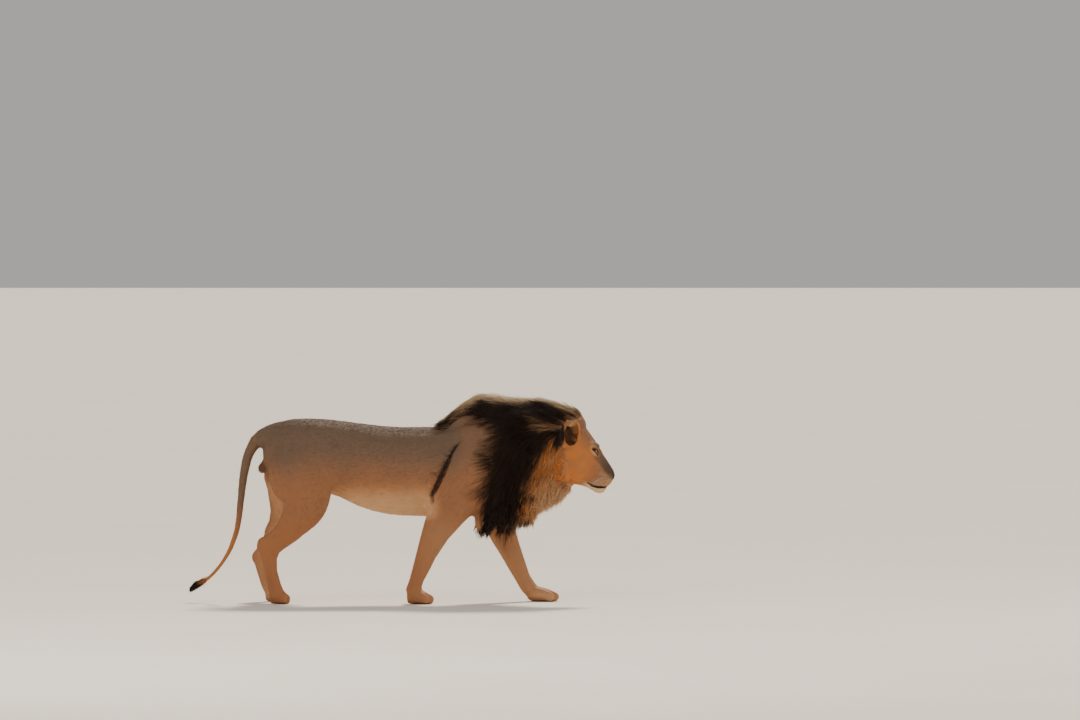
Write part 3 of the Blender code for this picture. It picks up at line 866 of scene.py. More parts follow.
class Graph:
    """The nodes of one material."""

    def __init__(self, name: str) -> None:
        """Starts a material with its shader."""
        self.material = bpy.data.materials.new(name)
        self.material.use_nodes = True
        self.tree = self.material.node_tree
        self.shader = next(node for node in self.tree.nodes if node.type == "BSDF_PRINCIPLED")

    def add(self, kind: str, settings: dict, inputs: dict) -> bpy.types.Node:
        """Adds a node.

        Args:
            kind: The node's type.
            settings: Its own settings.
            inputs: The values or signals of its sockets, by name or number.

        Returns:
            The node.
        """
        node = self.tree.nodes.new(kind)
        for name, value in settings.items():
            setattr(node, name, value)
        for name, value in inputs.items():
            self.feed(node.inputs[name], value)
        return node

    def feed(self, socket: bpy.types.NodeSocket, value: Union[Paint, float]) -> None:
        """Sets a socket, or links a signal to it."""
        if isinstance(value, Signal):
            self.tree.links.new(value.socket, socket)
        elif isinstance(value, tuple):
            socket.default_value = (*value, 1.0) if len(socket.default_value) == 4 else value
        else:
            socket.default_value = value

    def attribute(self, name: str) -> Signal:
        """A value that the mesh carries."""
        node = self.add("ShaderNodeAttribute", {"attribute_name": name}, {})
        return Signal(self, node.outputs["Fac"])

    def mark(self, mark: Mark) -> Signal:
        """The share of one of the markings."""
        return self.attribute(mark.value)

    def mix(self, share: Operand, first: Paint, second: Paint) -> Signal:
        """A colour between two."""
        node = self.add("ShaderNodeMix", {"data_type": "RGBA"}, {0: share, 6: first, 7: second})
        return Signal(self, node.outputs[2])

    def grain(self, size: Place, detail: float = 3.0) -> Signal:
        """Noise over the piece.

        Args:
            size: The size of its swells along each axis, in metres.
            detail: How fine its smallest swells are.

        Returns:
            Its value, about 0 to 1.
        """
        spot = self.add("ShaderNodeTexCoord", {}, {}).outputs["Object"]
        scale = tuple(1.0 / length for length in size)
        turned = self.add("ShaderNodeMapping", {}, {"Vector": Signal(self, spot), "Scale": scale})
        inputs = {"Vector": Signal(self, turned.outputs[0]), "Scale": 1.0, "Detail": detail}
        return Signal(self, self.add("ShaderNodeTexNoise", {}, inputs).outputs[0])

    def bump(self, height: Signal, depth: float, strength: float) -> None:
        """Feeds the shader's normal from a height."""
        inputs = {"Height": height, "Distance": depth, "Strength": strength}
        node = self.add("ShaderNodeBump", {}, inputs)
        self.feed(self.shader.inputs["Normal"], Signal(self, node.outputs[0]))

    def surface(self, **values: Union[Paint, float]) -> bpy.types.Material:
        """Sets the shader's sockets by name and gives the material."""
        for name, value in values.items():
            self.feed(self.shader.inputs[name.replace("_", " ")], value)
        return self.material


def tone(*display: int) -> Colour:
    """A colour by its display values, 0 to 255 for red, green and blue, as light."""
    return tuple(((part / 255 + 0.055) / 1.055) ** 2.4 if part > 10 else part / 3295 for part in display)


def scaled(colour: Colour, share: float) -> Colour:
    """A colour made darker or lighter."""
    return tuple(share * part for part in colour)


@dataclass(frozen=True)
class HairFinish:
    """The colours of skin and coat alike, from the marks that both carry."""

    name: str
    tawny: Colour = tone(154, 104, 69)
    grey: Colour = tone(107, 87, 71)
    warm: Colour = tone(196, 114, 38)
    pale: Colour = tone(222, 190, 148)
    dark: Colour = tone(20, 11, 9)
    leather: Colour = tone(44, 32, 29)
    # Near black for the painted shade in the nostril openings.
    nostril: Colour = tone(4, 3, 3)
    roughness: float = 0.62
    gloss: float = 0.22
    shading: float = 0.42
    lit_tips: float = 0.16
    streak: float = 0.012
    strand: float = 0.0017
    streak_tone: float = 0.42
    root_tone: float = 0.30
    patch: Place = (0.09, 0.06, 0.06)
    patch_floor: float = 0.35
    patch_share: float = 0.35
    relief: float = 0.0020
    relief_share: float = 0.65
    on_skin: bool = False

    def material(self) -> bpy.types.Material:
        """Builds the finish.

        Returns:
            The material.
        """
        graph = Graph(self.name)
        colour = graph.mix(graph.mark(Mark.GREY), self.tawny, self.grey)
        colour = graph.mix(graph.mark(Mark.WARM), colour, self.warm)
        colour = graph.mix(graph.mark(Mark.PALE), colour, self.pale)
        patches = graph.grain(self.patch, 2.0)
        colour = graph.mix((patches - self.patch_floor) * self.patch_share, colour, self.grey)
        colour = graph.mix(graph.mark(Mark.DARK), colour, self.dark)
        detail = self.fur_and_leather if self.on_skin else self.strands
        colour, rough = detail(graph, colour)
        return graph.surface(Base_Color=colour, Roughness=rough, Specular_IOR_Level=self.gloss)

    def fur_and_leather(self, graph: Graph, colour: Signal) -> tuple[Signal, Signal]:
        """Streaks of short fur that run down on the legs, and pebbled leather on the nose, with painted shade
        in the nostril openings.

        Args:
            graph: The material's nodes.
            colour: The markings' colour.

        Returns:
            The colour and the roughness.
        """
        leg, bare = graph.attribute("leg"), graph.attribute("bare")
        streaks = graph.grain((self.streak, self.strand, self.strand)) * (1 - leg)
        streaks = streaks + graph.grain((self.strand, self.strand, self.streak)) * leg
        colour = graph.mix((streaks - 0.30).kept() * 0.30, colour, scaled(self.tawny, self.streak_tone))
        pebbles = graph.grain((self.strand, self.strand, self.strand), 2.0)
        cloud = graph.grain((self.streak, self.streak, self.streak), 2.0)
        leather = graph.mix((cloud - 0.4).kept(), self.leather, scaled(self.leather, 2.0))
        # Painted shade in the nostril openings.
        leather = graph.mix(graph.attribute("pit"), leather, self.nostril)
        graph.bump(streaks * (1 - bare) + pebbles * bare * 0.5, self.relief, self.relief_share)
        return graph.mix(bare, colour, leather), self.roughness + 0.12 * streaks - 0.16 * bare

    def strands(self, graph: Graph, colour: Signal) -> tuple[Signal, Signal]:
        """Hairs that differ in tone at random, with tips painted paler as if lit, and paler still in the
        crest's painted rim light.

        Args:
            graph: The material's nodes.
            colour: The markings' colour.

        Returns:
            The colour and the roughness.
        """
        shade, along = graph.attribute("shade"), graph.attribute("along")
        colour = graph.mix(shade * self.shading, colour, scaled(self.tawny, self.root_tone))
        lit = along * self.lit_tips * (1 - graph.mark(Mark.DARK))
        # Tips paler as if lit, and paler still in the crest's painted rim light.
        colour = graph.mix(lit + along * graph.mark(Mark.TIPPED) * 1.05, colour, self.pale)
        return colour, self.roughness - 0.10 * shade


@dataclass(frozen=True)
class EyeFinish:
    """A wet, clear-coated part of the eyeball."""

    name: str
    inner: Colour
    outer: Colour
    streaks: float = 0.0
    fibre: float = 0.0011
    roughness: float = 0.30
    coat: float = 0.7
    coat_roughness: float = 0.03

    def material(self) -> bpy.types.Material:
        """Builds the finish.

        Returns:
            The material.
        """
        graph = Graph(self.name)
        fibres = graph.grain((self.fibre, self.fibre, self.fibre)) * self.streaks
        ring = (graph.attribute("ring") + fibres - 0.5 * self.streaks).kept()
        return graph.surface(
            Base_Color=graph.mix(ring, self.inner, self.outer),
            Roughness=self.roughness + 0.05 * fibres,
            Specular_IOR_Level=0.0,
            Coat_Weight=self.coat,
            Coat_Roughness=self.coat_roughness,
        )


@dataclass(frozen=True)
class FloorFinish:
    """Plain pale matt floor."""

    name: str = "studio_floor"
    pale: Colour = tone(226, 218, 208)
    paler: Colour = tone(234, 228, 220)
    cloud: float = 1.4
    roughness: float = 0.85

    def material(self) -> bpy.types.Material:
        """Builds the finish.

        Returns:
            The material.
        """
        graph = Graph(self.name)
        cloud = graph.grain((self.cloud, self.cloud, self.cloud), 2.0)
        colour = graph.mix(cloud, self.pale, self.paler)
        return graph.surface(Base_Color=colour, Roughness=self.roughness)


# ---------------------------------------------------------------- making meshes
def alone(piece: bpy.types.Object) -> None:
    """Selects one piece and makes it the active one."""
    bpy.ops.object.select_all(action="DESELECT")
    piece.select_set(True)
    bpy.context.view_layer.objects.active = piece


def apply(piece: bpy.types.Object, kind: str, **settings: object) -> None:
    """Adds a modifier and applies it."""
    alone(piece)
    modifier = piece.modifiers.new(kind.lower(), kind)
    for name, value in settings.items():
        setattr(modifier, name, value)
    bpy.ops.object.modifier_apply(modifier=modifier.name)


def edit(piece: bpy.types.Object, chosen: Array, action: Callable[[], object]) -> None:
    """Runs an edit-mode action on chosen faces.

    Args:
        piece: The piece.
        chosen: True for each face that is selected.
        action: What is done to them.
    """
    alone(piece)
    bpy.context.tool_settings.mesh_select_mode = (False, False, True)
    bpy.ops.object.mode_set(mode="EDIT")
    bpy.ops.mesh.select_all(action="DESELECT")
    bpy.ops.object.mode_set(mode="OBJECT")
    piece.data.polygons.foreach_set("select", chosen)
    bpy.ops.object.mode_set(mode="EDIT")
    action()
    bpy.ops.object.mode_set(mode="OBJECT")


def read(items: object, name: str, width: int = 1, kind: type = float) -> Array:
    """Reads one property of all of a mesh's items.

    Args:
        items: The mesh's vertices, faces or the like.
        name: The property.
        width: How many numbers each item has.
        kind: Their type.

    Returns:
        One row for each item.
    """
    values = np.empty(len(items) * width, dtype=kind)
    items.foreach_get(name, values)
    return values.reshape(-1, width) if width > 1 else values


def places(piece: bpy.types.Object) -> Array:
    """The places of a piece's vertices."""
    return read(piece.data.vertices, "co", 3)


def outwards(piece: bpy.types.Object) -> Array:
    """The outward directions at a piece's vertices."""
    return read(piece.data.vertex_normals, "vector", 3)


def move(piece: bpy.types.Object, points: Array) -> None:
    """Puts a piece's vertices in new places."""
    piece.data.vertices.foreach_set("co", points.ravel())
    piece.data.update()


def carry(piece: bpy.types.Object, name: str, values: Array) -> None:
    """Stores a value at each vertex of a piece."""
    layer = piece.data.attributes.new(name, "FLOAT", "POINT")
    layer.data.foreach_set("value", values.astype(np.float32))


def everything(piece: bpy.types.Object) -> Array:
    """True for each face of a piece."""
    return np.ones(len(piece.data.polygons), dtype=bool)


def middles(piece: bpy.types.Object) -> Array:
    """The middle of each of a piece's faces."""
    return read(piece.data.polygons, "center", 3)


def placed(name: str, data: bpy.types.ID) -> bpy.types.Object:
    """Puts a new object in the scene."""
    made = bpy.data.objects.new(name, data)
    bpy.context.scene.collection.objects.link(made)
    return made


# ---------------------------------------------------------------- the skin
@dataclass(frozen=True)
class Swell:
    """A soft ridge or groove of the body, between two points, on both sides unless it says otherwise."""

    start: Place
    end: Place
    width: float
    rise: float
    sides: tuple[float, ...] = (1.0, -1.0)

    def lift(self, points: Array) -> Array:
        """How far each point is raised."""
        ends = [np.array((self.start, self.end)) * (1.0, side, 1.0) for side in self.sides]
        far = np.min([along_line(points, start, end) for start, end in ends], axis=0)
        return self.rise * hump(far, self.width)


@dataclass
class Skin:
    """The one skin that all flesh shares, under the coat."""

    pattern: Pattern
    voxel: float = 0.0050
    body_share: float = 0.13
    smoothing: int = 7
    inset_steps: int = 10
    overlap: float = 0.0006
    ear_growth: float = 0.09
    toe_clefts: Place = (0.24, 0.50, 0.76)
    cleft_width: float = 0.0055
    cleft_depth: float = 0.0095
    swells: tuple[Swell, ...] = (
        Swell((0.31, 0.12, 0.93), (0.42, 0.17, 0.66), 0.030, 0.006),
        Swell((0.30, 0.15, 0.86), (0.16, 0.17, 0.58), 0.018, -0.006),
        Swell((0.10, 0.16, 0.80), (0.02, 0.17, 0.58), 0.013, 0.002),
        Swell((0.03, 0.16, 0.80), (-0.05, 0.17, 0.58), 0.013, 0.002),
        Swell((-0.04, 0.16, 0.80), (-0.12, 0.17, 0.60), 0.013, 0.002),
        Swell((-0.11, 0.16, 0.80), (-0.19, 0.17, 0.61), 0.013, 0.002),
        Swell((-0.30, 0.15, 0.74), (-0.27, 0.13, 0.62), 0.050, -0.006),
        Swell((-0.385, 0.16, 0.85), (-0.335, 0.14, 0.64), 0.022, -0.005),
        Swell((-0.47, 0.10, 0.95), (-0.50, 0.12, 0.90), 0.032, 0.005),
        Swell((-0.60, 0.15, 0.82), (-0.63, 0.14, 0.56), 0.018, -0.004),
        Swell((-0.38, 0.15, 0.72), (-0.34, 0.13, 0.52), 0.024, 0.005),
        Swell((-0.758, 0.125, 0.350), (-0.764, 0.125, 0.300), 0.027, 0.011, (-1.0,)),
        Swell((-0.676, 0.125, 0.440), (-0.716, 0.125, 0.395), 0.028, -0.012, (-1.0,)),
        Swell((-0.762, 0.125, 0.350), (-0.788, 0.125, 0.305), 0.022, -0.012, (1.0,)),
        Swell((-0.803, 0.125, 0.250), (-0.803, 0.125, 0.225), 0.018, 0.006, (1.0,)),
    )
    crown: Swell = Swell((0.74, 0.0, 1.06), (0.845, 0.0, 1.03), 0.060, 0.017)
    face_forms: tuple[Swell, ...] = (
        Swell((-0.004, 0.038, 0.027), (-0.044, 0.086, 0.026), 0.013, 0.0100),
        Swell((0.018, 0.050, -0.004), (0.030, 0.050, -0.030), 0.012, -0.0050),
        Swell((-0.016, 0.086, -0.036), (-0.050, 0.108, -0.030), 0.017, 0.0045),
        Swell((0.030, 0.070, -0.085), (0.020, 0.078, -0.125), 0.018, -0.0062),
        Swell((0.034, 0.046, -0.008), (0.112, 0.036, -0.060), 0.010, 0.0050),
        Swell((0.048, 0.064, -0.045), (0.078, 0.058, -0.072), 0.013, -0.0045),
        Swell((0.100, 0.045, -0.122), (0.076, 0.056, -0.130), 0.022, 0.0090),
        Swell((0.096, 0.0, -0.188), (0.080, 0.0, -0.192), 0.018, 0.0030),
        Swell((-0.060, 0.118, -0.075), (-0.075, 0.112, -0.115), 0.030, 0.0055),
        Swell((-0.056, 0.100, 0.030), (-0.080, 0.100, 0.062), 0.020, -0.0055),
        Swell((-0.020, 0.032, 0.072), (-0.045, 0.034, 0.105), 0.019, 0.0036),
    )
    piece: bpy.types.Object = field(init=False)
    hull: BVHTree = field(init=False)

    def build(self) -> bpy.types.Object:
        """Makes the skin from the flesh's own solids.

        Returns:
            The skin.
        """
        self.gather()
        self.raise_crown()
        self.lighten()
        self.raise_muscles()
        self.sink()
        self.refine()
        self.shape_paws()
        self.shape_face()
        self.unwrap()
        self.mark()
        return self.piece

    def gather(self) -> None:
        """Joins copies of all solids, the eyes too, as closed lids cover them, and closes the cuts."""
        copies = [placed(name + "_flesh", node.data.copy()) for name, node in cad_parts.items()]
        alone(copies[0])
        for copy in copies:
            copy.select_set(True)
        bpy.ops.object.join()
        self.piece = bpy.context.view_layer.objects.active
        self.piece.name = self.piece.data.name = "skin"
        edit(self.piece, everything(self.piece), lambda: bpy.ops.mesh.remove_doubles(threshold=1e-5))
        apply(self.piece, "DISPLACE", mid_level=0.0, strength=self.overlap)
        apply(self.piece, "REMESH", mode="VOXEL", voxel_size=self.voxel)
        apply(self.piece, "SMOOTH", factor=0.5, iterations=self.smoothing)

    def raise_crown(self) -> None:
        """Fills the crown, and keeps the surface as it is then as the coat's outer form."""
        points = places(self.piece)
        move(self.piece, points + self.crown.lift(points)[:, None] * (0.0, 0.0, 1.0))
        mesh = self.piece.data
        faces = [face.vertices for face in mesh.polygons]
        self.hull = BVHTree.FromPolygons([vertex.co for vertex in mesh.vertices], faces)

    def lighten(self) -> None:
        """Gives the body larger faces, and keeps the head's and the paws' small."""
        middle = middles(self.piece)
        hidden = self.pattern.long_hair(middle) * (1 - self.pattern.in_ear(middle)) > 0.9
        plain = (middle[:, 0] < 0.80) & (middle[:, 2] > 0.10) & (self.pattern.on_fringe(middle) < 0.05)
        edit(self.piece, hidden | plain, lambda: bpy.ops.mesh.decimate(ratio=self.body_share))

    def raise_muscles(self) -> None:
        """Gives the body its ridges and grooves, and enlarges the ears about their roots."""
        points = places(self.piece)
        lift = sum(swell.lift(points) for swell in self.swells)
        points = points + lift[:, None] * outwards(self.piece)
        for name in EARS:
            ear = EarShape(name)
            root = ear.centre - (0.0, 0.0, 0.060)
            share = self.ear_growth * ease(ear.beyond(points), 0.008, -0.004)
            points = points + share[:, None] * (points - root)
        move(self.piece, points)

    def relax(self, points: Array, share: Array, rounds: int) -> Array:
        """Draws points towards the middle of their neighbours.

        Args:
            points: The points.
            share: How far each goes in a round, from 0 to 1.
            rounds: How often.

        Returns:
            The new points.
        """
        first, second = read(self.piece.data.edges, "vertices", 2, np.int32).T
        count = np.bincount(np.concatenate([first, second]), minlength=len(points))[:, None]

        def total(values: Array) -> Array:
            """The sum over each point's neighbours of one coordinate."""
            size = len(values)
            return np.bincount(first, values[second], size) + np.bincount(second, values[first], size)

        for _ in range(rounds):
            around = np.stack([total(values) for values in points.T], axis=1)
            points = points + share[:, None] * (around / count - points)
        return points

    def sink(self) -> None:
        """Draws the surface in by the depth of the coat, smoothing where that is deep."""
        points = places(self.piece)
        depth = self.pattern.depth(points)[:, None]
        deep = self.pattern.hair_depth(points)
        for _ in range(self.inset_steps):
            points = self.relax(points - outwards(self.piece) * depth / self.inset_steps, 0.8 * deep, 3)
            move(self.piece, points)

    def refine(self) -> None:
        """Splits the faces of the face, and again round the eyes, the nose and the mouth."""
        for choose in (self.on_face, self.on_features):
            chosen = choose(middles(self.piece))
            edit(self.piece, chosen, lambda: bpy.ops.mesh.subdivide(number_cuts=1, smoothness=0.3))

    def on_face(self, points: Array) -> Array:
        """True on the face."""
        near = self.pattern.head.local(points)
        front = (near[:, 0] > -0.045) & (near[:, 2] < 0.075) & (near[:, 2] > -0.215)
        return front & (self.pattern.long_hair(points) < 0.5)

    def on_features(self, points: Array) -> Array:
        """True round the eyes, the nose and the mouth."""
        near = self.pattern.head.local(points)
        eye = np.min([np.linalg.norm(points - Lids(name).centre, axis=1) for name in EYES], axis=0)
        nose = (near[:, 0] > 0.106) & (near[:, 2] > -0.135)
        return (eye < 0.031) | nose | (Muzzle().lips(near) < 0.007) & (near[:, 0] > 0.0)

    def shape_paws(self) -> None:
        """Parts the toes."""
        points, normals = places(self.piece), outwards(self.piece)
        for name in PAWS:
            low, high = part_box(name)
            inside = (points[:, 2] < 0.06) & (points[:, 0] > low.x - 0.01) & (points[:, 0] < high.x + 0.01)
            inside &= (points[:, 1] > low.y - 0.01) & (points[:, 1] < high.y + 0.01)
            forward = ease(points[:, 0], high.x - 0.075, high.x - 0.030)
            for share in self.toe_clefts:
                line = low.y + share * (high.y - low.y)
                cleft = hump(points[:, 1] - line, self.cleft_width) * forward * inside
                depth = self.cleft_depth * cleft * ease(points[:, 2], 0.002, 0.014)
                points = points - normals * depth[:, None]
        move(self.piece, points)

    def shape_face(self) -> None:
        """Gives the face its lids, brows, nostrils, lips and folds."""
        points = places(self.piece)
        nose = ease(self.pattern.head.local(points)[:, 0], 0.03, 0.09)
        points = self.relax(points, 0.5 * nose, 12)
        move(self.piece, points)
        near = self.pattern.head.local(points)
        lift = sum(form.lift(near) for form in self.face_forms)
        lift = self.shape_nose(near, self.shape_mouth(near, lift))
        points = points + lift[:, None] * outwards(self.piece)
        for name in EYES:
            points = self.shape_lids(points, Lids(name))
        move(self.piece, points)

    def shape_mouth(self, near: Array, lift: Array) -> Array:
        """Adds the closed lips.

        Args:
            near: The skin's points, in the head's axes.
            lift: How far each is raised so far.

        Returns:
            How far each is raised.
        """
        face = ease(near[:, 0], -0.02, 0.02)
        lips = Muzzle().lips(near)
        lift -= 0.0036 * hump(lips, 0.0026) * face
        lift += 0.0016 * hump(lips - 0.008, 0.006) * face
        return lift

    def shape_nose(self, near: Array, lift: Array) -> Array:
        """Adds the nostrils, the split lip, the whisker rows, the cheek's fold and the forehead's groove.

        Args:
            near: The skin's points, in the head's axes.
            lift: How far each is raised so far.

        Returns:
            How far each is raised.
        """
        muzzle, side = Muzzle(), np.abs(near[:, 1])
        hole = muzzle.nostrils(near)
        lift -= 0.0090 * hump(np.maximum(hole, 0.0), 0.0040)
        lift += 0.0024 * hump(hole - 0.009, 0.004)
        lift -= 0.0030 * hump(along_path(near, ((0.142, -0.104), (0.126, -0.150))), 0.0026)
        for column, row in muzzle.spots():
            far = np.hypot(near[:, 0] - column, near[:, 2] - row)
            lift += 0.0006 * hump(far, 0.003) * ease(side, 0.010, 0.020)
        fold = along_path(near * (1, 0, 1), ((0.048, -0.060), (0.030, -0.150)))
        lift -= 0.0018 * hump(fold, 0.006) * ease(side, 0.03, 0.05)
        lift -= 0.0048 * hump(side, 0.012) * ease(near[:, 2], 0.01, 0.04) * ease(near[:, 2], 0.13, 0.09)
        return lift

    def shape_lids(self, points: Array, lids: Lids) -> Array:
        """Wraps the skin over one eyeball and opens a slit in it.

        Args:
            points: The skin's points.
            lids: The slit.

        Returns:
            The new points.
        """
        run, rise, out = lids.spread(points)
        _, across, out_way = lids.axes
        edge = lids.outside(points)
        ahead = out > -lids.depth
        snap = (np.abs(edge) < 0.0009) & (np.abs(run) < 0.93 * lids.half_length) & ahead
        shift = np.where(snap, -edge * np.sign(rise), 0.0)
        points = points + shift[:, None] * across
        ring = np.hypot(run, rise + shift)
        outside = lids.outside(points)
        lid_radius = lids.radius + lids.thickness
        over = np.sqrt(np.maximum(lid_radius**2 - ring**2, 0.0))
        covered = np.maximum(out, over + 0.0010 * hump(outside - 0.003, 0.002))
        target = out + (covered - out) * (ease(ring, 0.027, 0.019) * ahead)
        ball = np.sqrt(np.maximum(lids.radius**2 - ring**2, 0.0))
        slit_floor = np.minimum(target, np.maximum(ball - 0.0035, target - 0.0080))
        open_share = ease(outside, -0.0001, -0.0006) * ahead * (np.abs(run) < lids.half_length)
        target = target + (slit_floor - target) * open_share
        return points + (target - out)[:, None] * out_way

    def unwrap(self) -> None:
        """Lays the skin's own shape out flat."""
        self.piece.data.uv_layers.new(name=UNWRAP)
        project = bpy.ops.uv.smart_project
        edit(self.piece, everything(self.piece), lambda: project(angle_limit=1.15, island_margin=0.002))

    def mark(self) -> None:
        """Stores the markings and gives the skin its finish."""
        points = places(self.piece)
        marks = self.pattern.marks(points, outwards(self.piece), np.zeros(len(points)))
        for mark, share in marks.items():
            carry(self.piece, mark.value, share)
        carry(self.piece, "leg", ease(points[:, 2], 0.55, 0.42))
        near = self.pattern.head.local(points)
        carry(self.piece, "bare", Muzzle().bare(near))
        # Where the nostrils' painted shade lies.
        carry(self.piece, "pit", ease(Muzzle().nostrils(near), 0.0050, 0.0020))
        self.piece.data.materials.clear()
        self.piece.data.materials.append(HairFinish("short_fur_skin", on_skin=True).material())
        alone(self.piece)
        bpy.ops.object.shade_smooth()


# ---------------------------------------------------------------- the eyes
@dataclass
class Eye:
    """One eyeball: its white, iris and pupil."""

    node: str
    iris_share: float = 0.70
    pupil_share: float = 0.27
    cornea: float = 0.045
    segments: int = 48
    rings: int = 40
    piece: bpy.types.Object = field(init=False)

    @property
    def gaze(self) -> Array:
        """The way that the eye looks."""
        return Lids(self.node).sided(Lids(self.node).gaze)

    def build(self) -> bpy.types.Object:
        """Makes the eyeball.

        Returns:
            The eyeball.
        """
        lids = Lids(self.node)
        bpy.ops.object.select_all(action="DESELECT")
        bpy.ops.mesh.primitive_uv_sphere_add(
            segments=self.segments,
            ring_count=self.rings,
            radius=lids.radius,
            location=Vector(lids.centre),
            rotation=Vector(self.gaze).to_track_quat("Z", "Y").to_euler(),
        )
        self.piece = bpy.context.active_object
        self.piece.name = self.piece.data.name = self.node + "_ball"
        bpy.ops.object.transform_apply(location=True, rotation=True, scale=True)
        self.raise_cornea()
        self.dress()
        bpy.ops.object.shade_smooth()
        return self.piece

    def from_gaze(self, points: Array) -> tuple[Array, Array]:
        """Where points lie on the ball.

        Args:
            points: Points on the ball.

        Returns:
            Their distance from the line of sight, 1 on the rear half, and how far forwards they are, both as
            shares of the radius.
        """
        lids, gaze = Lids(self.node), self.gaze
        away = points - lids.centre
        ahead = away @ gaze
        ring = np.linalg.norm(away - ahead[:, None] * gaze, axis=1)
        return np.where(ahead > 0, ring, lids.radius) / lids.radius, np.maximum(ahead, 0.0) / lids.radius

    def raise_cornea(self) -> None:
        """Bulges the clear front, and stores where the iris runs from its inner to its outer colour."""
        points = places(self.piece)
        share, front = self.from_gaze(points)
        bulge = self.cornea * Lids(self.node).radius * ease(share, self.iris_share + 0.06, 0.20) * front
        move(self.piece, points + bulge[:, None] * self.gaze)
        carry(self.piece, "ring", ease(share, self.pupil_share, self.iris_share) ** 3)

    def dress(self) -> None:
        """Gives the white, the iris and the pupil their finishes."""
        finishes = (
            EyeFinish("eye_white", tone(74, 50, 38), tone(52, 32, 24)),
            EyeFinish("eye_iris", tone(176, 98, 20), tone(70, 34, 8), 0.5),
            EyeFinish("eye_pupil", tone(6, 5, 5), tone(10, 8, 8)),
        )
        for finish in finishes:
            self.piece.data.materials.append(finish.material())
        share, _ = self.from_gaze(middles(self.piece))
        part = np.sum([share < self.iris_share, share < self.pupil_share], axis=0, dtype=np.int32)
        self.piece.data.polygons.foreach_set("material_index", part)


# ---------------------------------------------------------------- the coat
@dataclass
class Roots:
    """Where hairs leave the skin."""

    points: Array
    normals: Array
    unwrapped: Array
    marks: dict[Mark, Array]

    def part(self, chosen: Array) -> "Roots":
        """Some of the roots."""
        marks = {mark: share[chosen] for mark, share in self.marks.items()}
        return Roots(self.points[chosen], self.normals[chosen], self.unwrapped[chosen], marks)


@dataclass
class Hide:
    """The finished skin as arrays, for rooting hair in it."""

    skin: Skin
    points: Array = field(init=False)
    normals: Array = field(init=False)
    corners: Array = field(init=False)
    flat: Array = field(init=False)
    area: Array = field(init=False)
    tree: BVHTree = field(init=False)

    def __post_init__(self) -> None:
        """Reads the skin's mesh."""
        mesh = self.skin.piece.data
        mesh.calc_loop_triangles()
        self.points = places(self.skin.piece)
        self.normals = outwards(self.skin.piece)
        self.corners = read(mesh.loop_triangles, "vertices", 3, np.int32)
        loops = read(mesh.loop_triangles, "loops", 3, np.int32)
        self.flat = read(mesh.uv_layers[UNWRAP].uv, "vector", 2)[loops]
        self.area = read(mesh.loop_triangles, "area")
        self.tree = BVHTree.FromPolygons(self.points.tolist(), self.corners.tolist())

    def scatter(self, count: int, density: Array, chance: np.random.Generator) -> Roots:
        """Picks roots by chance.

        Args:
            count: How many.
            density: How thickly they stand, at each vertex.
            chance: The source of chance.

        Returns:
            The roots.
        """
        weight = self.area * density[self.corners].mean(axis=1)
        picked = np.searchsorted(np.cumsum(weight) / weight.sum(), chance.random(count))
        first, second = chance.random(count), chance.random(count)
        fold = first + second > 1
        first, second = np.where(fold, 1 - first, first), np.where(fold, 1 - second, second)
        shares = np.stack([1 - first - second, first, second], axis=1)[:, :, None]
        corner = self.corners[picked]
        points = (self.points[corner] * shares).sum(axis=1)
        normals = unit((self.normals[corner] * shares).sum(axis=1))
        marks = self.skin.pattern.marks(points, normals, chance.uniform(-1, 1, count))
        return Roots(points, normals, (self.flat[picked] * shares).sum(axis=1), marks)

    def at(self, spots: Array) -> Roots:
        """The roots nearest to given places.

        Args:
            spots: The places.

        Returns:
            The roots.
        """
        found = [self.tree.find_nearest(Vector(spot)) for spot in spots]
        points = np.array([tuple(place) for place, _, _, _ in found])
        picked = np.array([index for _, _, index, _ in found])
        normals = unit(self.normals[self.corners[picked]].mean(axis=1))
        marks = self.skin.pattern.marks(points, normals, np.zeros(len(points)))
        return Roots(points, normals, self.flat[picked].mean(axis=1), marks)


